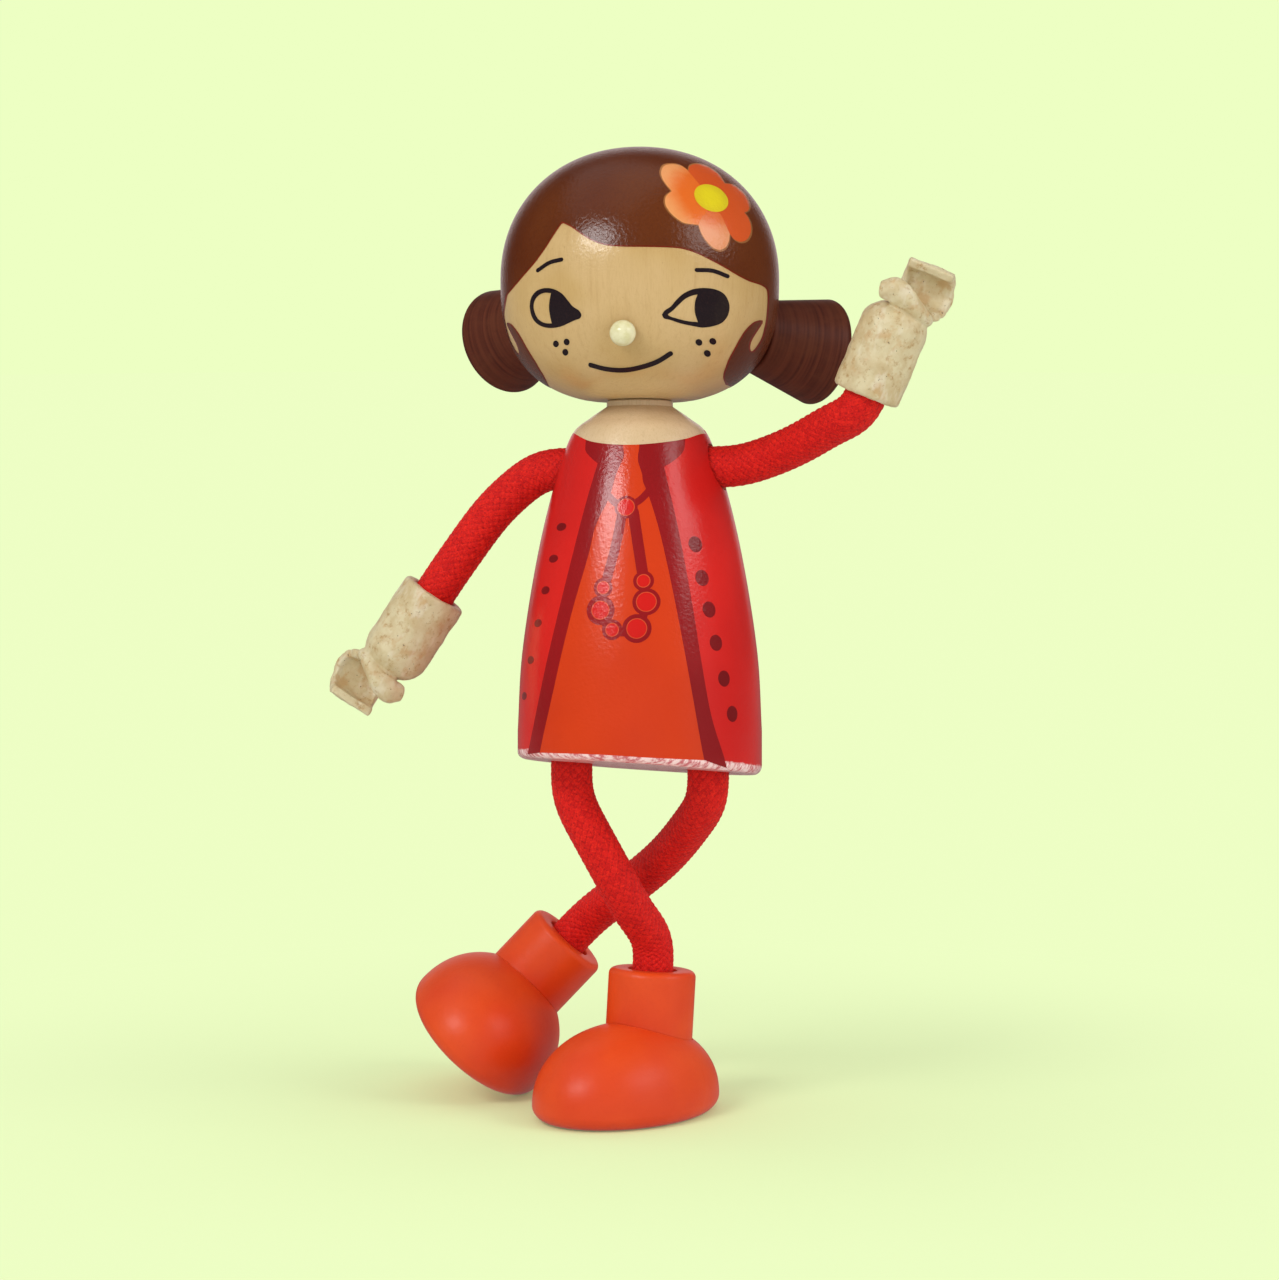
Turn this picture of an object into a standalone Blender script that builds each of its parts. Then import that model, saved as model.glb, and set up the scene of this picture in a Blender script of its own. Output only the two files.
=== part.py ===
"""Bendy doll: turned wooden head and torso, cord limbs with a wire core, moulded hands and turned shoes.

The doll stands on the sole of its right shoe, with its legs crossed and its left arm raised. The origin is
the centre of that sole, +Z is up and the doll is seen from -Y. Its own left is at +X.
"""

import math

import bmesh
import bpy
from mathutils import Euler, Matrix, Vector

MM = 0.001

# Fits
CLEARANCE = 0.3 * MM
HOLE_FIT = 0.4 * MM
OVERRUN = 2.0 * MM
MERGE = 0.01 * MM

# Facets of round pieces
ROUND_STEPS = 28
SMALL_STEPS = 20
CORD_SIDES = 12
WIRE_SIDES = 8
SMOOTH_ANGLE = 35.0

# Torso: outer radii, then their heights above the base. The upper ones hang from the top of the neck
TORSO_X = 2.1 * MM
TORSO_Y = -5.0 * MM
TORSO_Z = 54.5 * MM
TORSO_PLACE = Vector((TORSO_X, TORSO_Y, TORSO_Z))
TORSO_LEAN = -8.0
TORSO_YAW = -12.0
BASE_RADIUS = 18.4 * MM
WAIST_RADIUS = 17.75 * MM
CHEST_RADIUS = 15.05 * MM
ARMPIT_RADIUS = 12.2 * MM
SHOULDER_RADIUS = 9.9 * MM
COLLARBONE_RADIUS = 7.6 * MM
NECK_RADIUS = 5.0 * MM
BASE_HEIGHT = 5.3 * MM
WAIST_HEIGHT = 16.8 * MM
CHEST_HEIGHT = 33.5 * MM
NECK_HEIGHT = 54.9 * MM
NECK_LENGTH = 0.7 * MM
COLLARBONE_DROP = 2.5 * MM
SHOULDER_DROP = 4.4 * MM
ARMPIT_DROP = 10.3 * MM
NECK_FOOT_HEIGHT = NECK_HEIGHT - NECK_LENGTH
COLLARBONE_HEIGHT = NECK_HEIGHT - COLLARBONE_DROP
SHOULDER_HEIGHT = NECK_HEIGHT - SHOULDER_DROP
ARMPIT_HEIGHT = NECK_HEIGHT - ARMPIT_DROP
BASE_ROUND = 1.2 * MM
BASE_SLOPE = 3.5

# Head: an oval of revolution, squarer below its widest level
HEAD_YAW = -7.0
HEAD_RADIUS = 21.0 * MM
HEAD_CROWN = 20.6 * MM
HEAD_CHIN = 18.4 * MM
HEAD_SEAT_RADIUS = 5.4 * MM
CROWN_POWER = 2.25
CHIN_POWER = 2.45
NECK_DOWEL_RADIUS = 2.0 * MM
NECK_DOWEL_DEPTH = 8.0 * MM
NOSE_RADIUS = 2.0 * MM
NOSE_RISE = 1.0 * MM
NOSE_DROP = 9.4 * MM
NOSE_TILT = 20.0
NOSE_PIN_RADIUS = 1.0 * MM
NOSE_PIN_DEPTH = 3.0 * MM

# Hair bunches: turned cones on the sides of the head. Each droops and points back by its own angles
BUNCH_BASE_RADIUS = 5.9 * MM
BUNCH_END_RADIUS = 8.25 * MM
BUNCH_LENGTH = 13.0 * MM
BUNCH_END_ROUND = 1.2 * MM
BUNCH_BASE_ROUND = 0.5 * MM
LEFT_BUNCH_DROP = 7.5 * MM
LEFT_BUNCH_DROOP = 10.0
LEFT_BUNCH_BACK = 37.5
RIGHT_BUNCH_DROP = 4.5 * MM
RIGHT_BUNCH_DROOP = 13.5
RIGHT_BUNCH_BACK = 43.0
BUNCH_DOWEL_RADIUS = 1.5 * MM
BUNCH_DOWEL_DEPTH = 5.0 * MM

# Limb cords, their wires, and how far outside its hole each cord first bends
CORD_RADIUS = 3.0 * MM
WIRE_RADIUS = 0.8 * MM
CUP_RIM = 2.6 * MM
ROUTE_STEP = 2.2 * MM
BALL_STEPS = 3
BALL_END_ANGLE = 75.0
CUP_SEGMENTS = 16
CUP_RINGS = 10
SHOULDER_SETBACK = 2.8 * MM
HIP_SETBACK = 4.5 * MM
WRIST_SETBACK = 3.5 * MM
ANKLE_SETBACK = 4.0 * MM
ARM_HOLE_DROP = 9.9 * MM
ARM_HOLE_HEIGHT = NECK_HEIGHT - ARM_HOLE_DROP
ARM_HOLE_DEPTH = 6.5 * MM
HIP_INSET = 7.9 * MM
HIP_SPREAD = BASE_RADIUS - HIP_INSET
HIP_HOLE_DEPTH = 8.0 * MM

# Hands: a cuff with a domed end, and a C-shaped grip whose opening faces the viewer
CUFF_RADIUS = 5.0 * MM
CUFF_LENGTH = 10.0 * MM
CUFF_DOME = 3.6 * MM
CUFF_EDGE_ROUND = 0.7 * MM
CUFF_HOLE_DEPTH = 8.0 * MM
GRIP_RADIUS = 4.1 * MM
GRIP_WALL = 1.2 * MM
GRIP_WIDTH = 7.8 * MM
GRIP_SHIFT = 1.7 * MM
GRIP_SINK = 0.7 * MM
GRIP_TIP_ANGLE = 50.0
GRIP_THUMB_ANGLE = 300.0
GRIP_STEPS = 14
THUMB_TIP_X = -3.2 * MM
THUMB_TIP_Y = -2.3 * MM
THUMB_TIP_Z = 15.5 * MM
THUMB_ROOT_X = 4.0 * MM
THUMB_ROOT_Y = -1.7 * MM
THUMB_ROOT_Z = 13.5 * MM
THUMB_TIP = Vector((THUMB_TIP_X, THUMB_TIP_Y, THUMB_TIP_Z))
THUMB_ROOT = Vector((THUMB_ROOT_X, THUMB_ROOT_Y, THUMB_ROOT_Z))
THUMB_TIP_RADIUS = 1.9 * MM
THUMB_ROOT_RADIUS = 1.2 * MM
LEFT_HAND_X = 35.8 * MM
LEFT_HAND_Y = -16.5 * MM
LEFT_HAND_Z = 112.3 * MM
LEFT_HAND_PLACE = Vector((LEFT_HAND_X, LEFT_HAND_Y, LEFT_HAND_Z))
LEFT_HAND_TURN = (0.0, 22.0, 0.0)
RIGHT_HAND_X = -29.4 * MM
RIGHT_HAND_Y = 6.5 * MM
RIGHT_HAND_Z = 79.0 * MM
RIGHT_HAND_PLACE = Vector((RIGHT_HAND_X, RIGHT_HAND_Y, RIGHT_HAND_Z))
RIGHT_HAND_TURN = (0.0, 213.0, 0.0)

# Shoes: an oval foot dome with a flat sole, and a collar glued into its top towards the heel
FOOT_HALF_LENGTH = 16.4 * MM
FOOT_HALF_WIDTH = 12.2 * MM
FOOT_HEIGHT = 14.0 * MM
SOLE_ROUND = 3.0 * MM
SOLE_SHARE = 0.76
DOME_POWER = 2.1
COLLAR_RADIUS = 6.7 * MM
COLLAR_HEIGHT = 12.8 * MM
COLLAR_SEAT = 8.8 * MM
COLLAR_SETBACK = 5.2 * MM
COLLAR_LEAN = -5.0
COLLAR_EDGE_ROUND = 0.8 * MM
ANKLE_HOLE_DEPTH = 8.0 * MM
RIGHT_FOOT_PLACE = Vector((0.0, 0.0, 0.0))
RIGHT_FOOT_TURN = (0.0, 0.0, -40.0)
LEFT_FOOT_X = -24.4 * MM
LEFT_FOOT_Y = 19.1 * MM
LEFT_FOOT_Z = 7.3 * MM
LEFT_FOOT_PLACE = Vector((LEFT_FOOT_X, LEFT_FOOT_Y, LEFT_FOOT_Z))
LEFT_FOOT_TURN = (10.0, 42.0, -13.0)

# Free stretch of each limb's route between its first and last bends, chosen by hand, in millimetres.
# The middle point of the three is where the elbow or the knee bends.
LEFT_ARM_ROUTE = [(22.5, -4.4, 101.6), (26.9, -8.6, 104.1), (31.0, -12.9, 107.0)]
RIGHT_ARM_ROUTE = [(-16.2, 4.9, 95.9), (-20.1, 5.4, 92.2), (-24.3, 6.0, 86.5)]
LEFT_LEG_ROUTE = [(9.8, -1.2, 44.7), (5.8, 6.9, 38.5), (0.6, 14.0, 32.9)]
RIGHT_LEG_ROUTE = [(-5.4, -4.2, 44.2), (-1.9, -3.6, 37.6), (0.9, 0.1, 31.7)]
FIRST_BEND, MIDDLE_BEND, LAST_BEND = 2, 4, 6

# Surface finishes: colour, roughness
MAPLE = ((0.78, 0.55, 0.33), 0.35)
DARK_WOOD = ((0.06, 0.016, 0.012), 0.3)
RED_LACQUER = ((0.60, 0.03, 0.03), 0.3)
ORANGE_LACQUER = ((0.78, 0.09, 0.02), 0.3)
RED_CORD = ((0.62, 0.02, 0.02), 0.85)
MOTTLED_RESIN = ((0.72, 0.62, 0.44), 0.5)
CREAM_RESIN = ((0.85, 0.80, 0.66), 0.25)
PLAIN_DOWEL = ((0.70, 0.52, 0.33), 0.6)
SOFT_STEEL = ((0.45, 0.45, 0.46), 0.4)


def clear_scene():
    for old in list(bpy.data.objects):
        bpy.data.objects.remove(old, do_unlink=True)


def new_collection(name):
    collection = bpy.data.collections.new(name)
    bpy.context.scene.collection.children.link(collection)
    return collection


def new_material(name, finish, metallic=0.0):
    colour, roughness = finish
    material = bpy.data.materials.new(name)
    material.use_nodes = True
    shader = material.node_tree.nodes["Principled BSDF"]
    shader.inputs["Base Color"].default_value = (*colour, 1.0)
    shader.inputs["Roughness"].default_value = roughness
    shader.inputs["Metallic"].default_value = metallic
    return material


def turn(degrees):
    """A turn about Z first, then Y, then X."""
    return Euler([math.radians(angle) for angle in degrees], "ZYX").to_matrix().to_4x4()


def new_frame(name, matrix):
    """An empty that carries the pieces of one body or one group."""
    empty = bpy.data.objects.new(name, None)
    doll.objects.link(empty)
    empty.matrix_world = matrix
    return empty


def add_object(name, mesh, material=None, frame=None, local=None):
    """A piece of the doll, or a cutter where it has no material."""
    obj = bpy.data.objects.new(name, mesh)
    (doll if material else cutters).objects.link(obj)
    obj.parent = frame
    if local is not None:
        obj.matrix_local = local
    if material:
        mesh.materials.append(material)
    else:
        obj.hide_render = True
        obj.display_type = "WIRE"
    return obj


def soften(mesh):
    mesh.shade_smooth()
    mesh.set_sharp_from_angle(angle=math.radians(SMOOTH_ANGLE))


def evaluated_mesh(obj):
    """The mesh of a curve or of an object with modifiers, with loose caps welded on."""
    bpy.context.view_layer.update()
    seen = obj.evaluated_get(bpy.context.evaluated_depsgraph_get())
    mesh = bpy.data.meshes.new_from_object(seen)
    work = bmesh.new()
    work.from_mesh(mesh)
    bmesh.ops.remove_doubles(work, verts=work.verts, dist=MERGE)
    bmesh.ops.recalc_face_normals(work, faces=work.faces)
    work.to_mesh(mesh)
    work.free()
    return mesh


def turned(name, profile, material, frame=None, local=None, steps=ROUND_STEPS):
    """A lathe-turned piece. The profile holds (radius, height) pairs from the top down."""
    mesh = bpy.data.meshes.new(name)
    points = [(radius, 0.0, height) for radius, height in profile]
    mesh.from_pydata(points, [(i, i + 1) for i in range(len(points) - 1)], [])
    obj = add_object(name, mesh, material, frame, local)
    screw = obj.modifiers.new("turning", "SCREW")
    screw.steps = screw.render_steps = steps
    screw.use_merge_vertices = True
    screw.merge_threshold = MERGE
    screw.use_smooth_shade = True
    return obj


def settle(obj):
    """Turns an object's modifiers into its mesh."""
    mesh = evaluated_mesh(obj)
    obj.modifiers.clear()
    obj.data = mesh
    soften(mesh)
    return obj


def corner(radius, height, size, start, end, steps=3):
    """Points of a rounded corner of a profile, an arc in degrees about (radius, height)."""
    arc = []
    for i in range(steps + 1):
        angle = math.radians(start + (end - start) * i / steps)
        arc.append((radius + size * math.cos(angle), height + size * math.sin(angle)))
    return arc


def oval_radius(radius, height, power, level):
    """Radius of a squarish oval at a level between 0 and its full height."""
    return radius * (1 - (level / height) ** power) ** (1 / power)


def quarter_oval(radius, height, power, least_radius, steps):
    """Points of a squarish oval from its widest level up to where its radius is the least radius."""
    last = math.acos((least_radius / radius) ** (power / 2))
    quarter = []
    for i in range(steps + 1):
        angle = last * i / steps
        quarter.append((radius * math.cos(angle) ** (2 / power), height * math.sin(angle) ** (2 / power)))
    return quarter


def bar(name, radius, start, end, frame=None, material=None, end_radius=None):
    """A round bar from start to end in the frame's space. Without a material it is a cutter."""
    mesh = bpy.data.meshes.new(name)
    work = bmesh.new()
    along = end - start
    middle = Matrix.Translation((start + end) / 2) @ along.to_track_quat("Z", "X").to_matrix().to_4x4()
    bmesh.ops.create_cone(work, cap_ends=True, segments=SMALL_STEPS, radius1=radius,
                          radius2=end_radius or radius, depth=along.length, matrix=middle)
    work.to_mesh(mesh)
    work.free()
    soften(mesh)
    return add_object(name, mesh, material, frame)


def combine(obj, other, operation="DIFFERENCE"):
    boolean = obj.modifiers.new(other.name, "BOOLEAN")
    boolean.operation = operation
    boolean.object = other
    boolean.solver = "EXACT"


def spline_point(points, knots, t):
    """A point of a Catmull-Rom curve between the second and third of four points."""
    first = [points[j].lerp(points[j + 1], (t - knots[j]) / (knots[j + 1] - knots[j])) for j in range(3)]
    second = [first[j].lerp(first[j + 1], (t - knots[j]) / (knots[j + 2] - knots[j])) for j in range(2)]
    return second[0].lerp(second[1], (t - knots[1]) / (knots[2] - knots[1]))


class Route:
    """A smooth curve through points, read by the distance along it."""

    def __init__(self, points, per_span=12):
        ends = [2 * points[0] - points[1]] + points + [2 * points[-1] - points[-2]]
        knots = [0.0]
        for a, b in zip(ends, ends[1:]):
            knots.append(knots[-1] + math.sqrt((b - a).length))
        self.samples = [points[0]]
        for i in range(1, len(ends) - 2):
            for k in range(1, per_span + 1):
                t = knots[i] + (knots[i + 1] - knots[i]) * k / per_span
                self.samples.append(spline_point(ends[i - 1:i + 3], knots[i - 1:i + 3], t))
        self.distances = [0.0]
        for a, b in zip(self.samples, self.samples[1:]):
            self.distances.append(self.distances[-1] + (b - a).length)
        self.length = self.distances[-1]
        self.per_span = per_span

    def station(self, index):
        """Distance along the route of one of the points that it was made from."""
        return self.distances[index * self.per_span]

    def at(self, distance):
        i = 1
        while i < len(self.samples) - 1 and self.distances[i] < distance:
            i += 1
        share = (distance - self.distances[i - 1]) / (self.distances[i] - self.distances[i - 1])
        return self.samples[i - 1].lerp(self.samples[i], share)

    def points(self, start, end):
        """Evenly spaced points from one distance to another."""
        spans = max(1, math.ceil((end - start) / ROUTE_STEP))
        return [self.at(start + (end - start) * i / spans) for i in range(spans + 1)]


def tube(name, centres, radius, sides, material=None, frame=None, shares=None):
    """A round tube along points in world space, whose radius may shrink to a share of itself."""
    origin = frame.matrix_world.translation if frame else Vector()
    curve = bpy.data.curves.new(name, "CURVE")
    curve.dimensions = "3D"
    curve.bevel_depth = radius
    curve.bevel_resolution = sides // 2 - 2
    curve.use_fill_caps = True
    spline = curve.splines.new("POLY")
    spline.points.add(len(centres) - 1)
    for i, (point, centre) in enumerate(zip(spline.points, centres)):
        point.co = (*(centre - origin), 1.0)
        point.radius = shares[i] if shares else 1.0
    guide = bpy.data.objects.new(name, curve)
    cutters.objects.link(guide)
    mesh = evaluated_mesh(guide)
    bpy.data.objects.remove(guide, do_unlink=True)
    soften(mesh)
    return add_object(name, mesh, material, frame)


def cup_cutter(name, centre):
    """A ball, as wide as a cord's round end with its clearance."""
    mesh = bpy.data.meshes.new(name)
    work = bmesh.new()
    bmesh.ops.create_uvsphere(work, u_segments=CUP_SEGMENTS, v_segments=CUP_RINGS,
                              radius=CORD_RADIUS + CLEARANCE, matrix=Matrix.Translation(centre))
    work.to_mesh(mesh)
    work.free()
    return add_object(name, mesh)


def torso_surface_radius(height):
    """Outer radius of the torso at a height, from its outline."""
    for (upper_radius, upper), (lower_radius, lower) in zip(torso_outline, torso_outline[1:]):
        if lower <= height <= upper:
            share = (height - lower) / (upper - lower)
            return lower_radius + (upper_radius - lower_radius) * share
    return BASE_RADIUS


def make_torso():
    straight = [Vector((radius, 0, height)) for radius, height in torso_outline]
    side = Route(straight, per_span=3).samples
    profile = [(0.0, NECK_HEIGHT), (NECK_RADIUS, NECK_HEIGHT)]
    profile += [(point.x, point.z) for point in side]
    profile += corner(BASE_RADIUS - BASE_ROUND, BASE_ROUND, BASE_ROUND, 0.0, -90.0)
    profile.append((0.0, 0.0))
    torso = settle(turned("torso", profile, red_lacquer, torso_frame))
    slope = math.tan(math.radians(BASE_SLOPE))
    for vertex in torso.data.vertices:
        fade = max(0.0, 1.0 - vertex.co.z / BASE_HEIGHT)
        vertex.co.z -= slope * vertex.co.x * fade
    floor = Vector((0, 0, NECK_HEIGHT - NECK_DOWEL_DEPTH))
    combine(torso, bar("neck_hole", NECK_DOWEL_RADIUS + CLEARANCE, floor - Vector((0, 0, CLEARANCE)),
                       Vector((0, 0, NECK_HEIGHT + OVERRUN)), torso_frame))
    for side in (1, -1):
        mouth = Vector((side * arm_mouth, 0, ARM_HOLE_HEIGHT))
        inward = Vector((-side, 0, 0))
        combine(torso, bar("arm_hole", CORD_RADIUS + HOLE_FIT, mouth + inward * ARM_HOLE_DEPTH,
                           mouth - inward * (CORD_RADIUS + OVERRUN), torso_frame))
        hip = Vector((side * HIP_SPREAD, 0, HIP_HOLE_DEPTH))
        combine(torso, bar("hip_hole", CORD_RADIUS + HOLE_FIT, hip,
                           Vector((side * HIP_SPREAD, 0, -OVERRUN)), torso_frame))
    bar("neck_dowel", NECK_DOWEL_RADIUS, floor,
        Vector((0, 0, NECK_HEIGHT + NECK_DOWEL_DEPTH)), torso_frame, plain_dowel)


def make_head():
    crown = quarter_oval(HEAD_RADIUS, HEAD_CROWN, CROWN_POWER, 0.0, 9)
    chin = quarter_oval(HEAD_RADIUS, HEAD_CHIN, CHIN_POWER, HEAD_SEAT_RADIUS, 8)
    profile = list(reversed(crown)) + [(radius, -drop) for radius, drop in chin[1:]]
    profile[0] = (0.0, HEAD_CROWN)
    profile.append((0.0, -chin[-1][1]))
    head = turned("head", profile, maple, head_frame)
    seat = -chin[-1][1]
    combine(head, bar("head_neck_hole", NECK_DOWEL_RADIUS + CLEARANCE, Vector((0, 0, seat - OVERRUN)),
                      Vector((0, 0, seat + NECK_DOWEL_DEPTH + CLEARANCE)), head_frame))
    make_nose(head)
    make_bunch("left", 1, head, LEFT_BUNCH_DROP, LEFT_BUNCH_DROOP, LEFT_BUNCH_BACK)
    make_bunch("right", -1, head, RIGHT_BUNCH_DROP, RIGHT_BUNCH_DROOP, RIGHT_BUNCH_BACK)


def make_nose(head):
    """A round peg with a pin, its own +Z pointing square out of the face."""
    surface = oval_radius(HEAD_RADIUS, HEAD_CHIN, CHIN_POWER, NOSE_DROP)
    local = Matrix.Translation((0, -surface, -NOSE_DROP)) @ turn((90.0 + NOSE_TILT, 0, 0))
    ball = corner(0.0, NOSE_RISE, NOSE_RADIUS, 90.0, -15.0, steps=6)
    ball[0] = (0.0, NOSE_RISE + NOSE_RADIUS)
    profile = ball + [(NOSE_PIN_RADIUS, ball[-1][1]), (NOSE_PIN_RADIUS, -NOSE_PIN_DEPTH),
                      (0.0, -NOSE_PIN_DEPTH)]
    turned("nose_peg", profile, cream_resin, head_frame, local, steps=16)
    hole = bar("nose_hole", NOSE_PIN_RADIUS + CLEARANCE, local @ Vector((0, 0, OVERRUN)),
               local @ Vector((0, 0, -NOSE_PIN_DEPTH - CLEARANCE)), head_frame)
    combine(head, hole)


def make_bunch(name, side, head, drop, droop, back):
    """A cone whose own +Z points out from the side of the head, drooping and back."""
    surface = oval_radius(HEAD_RADIUS, HEAD_CHIN, CHIN_POWER, drop)
    around = Matrix.Rotation(math.radians(side * back), 4, "Z")
    outward = Matrix.Rotation(math.radians(side * (90 + droop)), 4, "Y")
    seat = around @ Matrix.Translation((side * surface, 0, -drop)) @ outward
    local = seat @ Matrix.Translation((0, 0, CLEARANCE))
    profile = [(0.0, BUNCH_LENGTH)]
    profile += corner(BUNCH_END_RADIUS - BUNCH_END_ROUND, BUNCH_LENGTH - BUNCH_END_ROUND,
                      BUNCH_END_ROUND, 90.0, 0.0, steps=4)
    profile += corner(BUNCH_BASE_RADIUS - BUNCH_BASE_ROUND, BUNCH_BASE_ROUND,
                      BUNCH_BASE_ROUND, 0.0, -90.0, steps=2)
    profile.append((0.0, 0.0))
    bunch = turned(name + "_hair_bunch", profile, dark_wood, head_frame, local, steps=24)
    inner = seat @ Vector((0, 0, -BUNCH_DOWEL_DEPTH))
    outer = seat @ Vector((0, 0, BUNCH_DOWEL_DEPTH))
    extra = (outer - inner).normalized() * CLEARANCE
    hole = bar(name + "_bunch_hole", BUNCH_DOWEL_RADIUS + CLEARANCE, inner - extra, outer + extra,
               head_frame)
    combine(bunch, hole)
    combine(head, hole)
    bar(name + "_bunch_dowel", BUNCH_DOWEL_RADIUS, inner, outer, head_frame, plain_dowel)


def make_hand(name, frame):
    """One moulded piece: a cuff round the cord's end, and beyond its domed end a C-shaped grip and thumb."""
    dome = [(radius, CUFF_LENGTH + rise)
            for radius, rise in quarter_oval(CUFF_RADIUS, CUFF_DOME, DOME_POWER, 0.0, 6)]
    profile = list(reversed(dome))
    profile[0] = (0.0, CUFF_LENGTH + CUFF_DOME)
    profile += corner(CUFF_RADIUS - CUFF_EDGE_ROUND, CUFF_EDGE_ROUND, CUFF_EDGE_ROUND, 0.0, -90.0, steps=2)
    profile.append((0.0, 0.0))
    hand = turned(name, profile, mottled_resin, frame, steps=24)
    combine(hand, make_grip(name + "_grip", frame), "UNION")
    combine(hand, bar(name + "_thumb", THUMB_TIP_RADIUS, THUMB_TIP, THUMB_ROOT, frame,
                      end_radius=THUMB_ROOT_RADIUS), "UNION")
    combine(hand, bar(name + "_hole", CORD_RADIUS + HOLE_FIT, Vector((0, 0, -OVERRUN)),
                      Vector((0, 0, CUFF_HOLE_DEPTH)), frame))


def make_grip(name, frame):
    """An open ring drawn in the hand's own Y-Z plane and extruded across the hand."""
    centre = CUFF_LENGTH + CUFF_DOME - GRIP_SINK + GRIP_RADIUS
    outline = []
    for radius, order in ((GRIP_RADIUS, 1), (GRIP_RADIUS - GRIP_WALL, -1)):
        for i in range(GRIP_STEPS + 1)[::order]:
            angle = math.radians(GRIP_TIP_ANGLE + (GRIP_THUMB_ANGLE - GRIP_TIP_ANGLE) * i / GRIP_STEPS)
            outline.append((radius * math.cos(angle), radius * math.sin(angle)))
    curve = bpy.data.curves.new(name, "CURVE")
    curve.dimensions = "2D"
    curve.fill_mode = "BOTH"
    curve.extrude = GRIP_WIDTH / 2
    spline = curve.splines.new("POLY")
    spline.points.add(len(outline) - 1)
    for point, (forward, up) in zip(spline.points, outline):
        point.co = (forward, up, 0.0, 1.0)
    spline.use_cyclic_u = True
    guide = bpy.data.objects.new(name, curve)
    cutters.objects.link(guide)
    mesh = evaluated_mesh(guide)
    bpy.data.objects.remove(guide, do_unlink=True)
    facing = Matrix(((0, 0, -1, GRIP_SHIFT), (-1, 0, 0, 0), (0, 1, 0, centre), (0, 0, 0, 1)))
    return add_object(name, mesh, None, frame, facing)


def make_shoe(name, frame):
    """A foot dome on its sole's centre with the toe at -Y, and the collar that is glued into it."""
    dome = [(radius / FOOT_HALF_WIDTH, SOLE_ROUND + rise)
            for radius, rise in quarter_oval(FOOT_HALF_WIDTH, FOOT_HEIGHT - SOLE_ROUND, DOME_POWER, 0.0, 7)]
    profile = list(reversed(dome))
    profile[0] = (0.0, FOOT_HEIGHT)
    under = 1.0 - SOLE_SHARE
    profile += [(SOLE_SHARE + under * radius, SOLE_ROUND + SOLE_ROUND * height)
                for radius, height in corner(0.0, 0.0, 1.0, -30.0, -90.0, steps=2)]
    profile.append((0.0, 0.0))
    foot = settle(turned(name + "_foot", profile, orange_lacquer, frame))
    foot.data.transform(Matrix.Diagonal((FOOT_HALF_WIDTH, FOOT_HALF_LENGTH, 1.0, 1.0)))
    foot_socket = bar(name + "_socket", COLLAR_RADIUS + CLEARANCE,
                      collar_local @ Vector((0, 0, -CLEARANCE)),
                      collar_local @ Vector((0, 0, COLLAR_HEIGHT)), frame)
    combine(foot, foot_socket)
    top = COLLAR_HEIGHT - COLLAR_EDGE_ROUND
    profile = [(0.0, COLLAR_HEIGHT)]
    profile += corner(COLLAR_RADIUS - COLLAR_EDGE_ROUND, top, COLLAR_EDGE_ROUND, 90.0, 0.0, steps=2)
    profile += [(COLLAR_RADIUS, 0.0), (0.0, 0.0)]
    collar = turned(name + "_ankle_collar", profile, orange_lacquer, frame, collar_local, steps=SMALL_STEPS)
    combine(collar, bar(name + "_ankle_hole", CORD_RADIUS + HOLE_FIT,
                        collar_local @ Vector((0, 0, COLLAR_HEIGHT - ANKLE_HOLE_DEPTH)),
                        collar_local @ Vector((0, 0, COLLAR_HEIGHT + OVERRUN)), frame))


def hole_points(matrix, mouth, inward, depth, setback):
    """Where a cord ends in its hole, passes its mouth and first bends outside it, in world space."""
    end = mouth + inward * (depth - CLEARANCE)
    return [matrix @ end, matrix @ mouth, matrix @ (mouth - inward * setback)]


def make_limb(name, stretches, from_torso, free_route, to_end, end_frame):
    """One limb's wire and its cord, cut into stretches that bend on each other like ball and cup."""
    points = from_torso + [Vector(point) * MM for point in free_route] + to_end[::-1]
    route = Route(points)
    bends = [route.station(FIRST_BEND), route.station(MIDDLE_BEND), route.station(LAST_BEND)]
    bore = tube(name + "_bore", route.points(-OVERRUN, route.length + OVERRUN),
                WIRE_RADIUS + CLEARANCE, WIRE_SIDES)
    tube(name + "_wire", route.points(CLEARANCE, route.length - CLEARANCE), WIRE_RADIUS, WIRE_SIDES,
         soft_steel)
    starts = [0.0] + bends
    ends = bends + [route.length]
    for index, part in enumerate(stretches):
        begin = starts[index] + (CUP_RIM if index else 0.0)
        centres = route.points(begin, ends[index])
        shares = [1.0] * len(centres)
        if index < len(bends):
            ahead = (centres[-1] - route.at(ends[index] - MERGE)).normalized()
            for k in range(1, BALL_STEPS + 1):
                angle = math.radians(BALL_END_ANGLE * k / BALL_STEPS)
                centres.append(route.at(ends[index]) + ahead * CORD_RADIUS * math.sin(angle))
                shares.append(math.cos(angle))
        frame = None
        if index:
            frame = new_frame(f"{name}_{part}_bend", Matrix.Translation(route.at(starts[index])))
        cord = tube(f"{name}_cord_{part}", centres, CORD_RADIUS, CORD_SIDES, red_cord, frame, shares)
        if index:
            combine(cord, cup_cutter(f"{name}_{part}_cup", route.at(starts[index])))
        combine(cord, bore)
    end_frame.parent = frame
    end_frame.matrix_parent_inverse = frame.matrix_world.inverted()
    print(name, "bends at", [tuple(round(c / MM, 3) for c in route.at(d)) for d in bends])


clear_scene()
doll = new_collection("bendy_doll")
cutters = new_collection("cutters")

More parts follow.
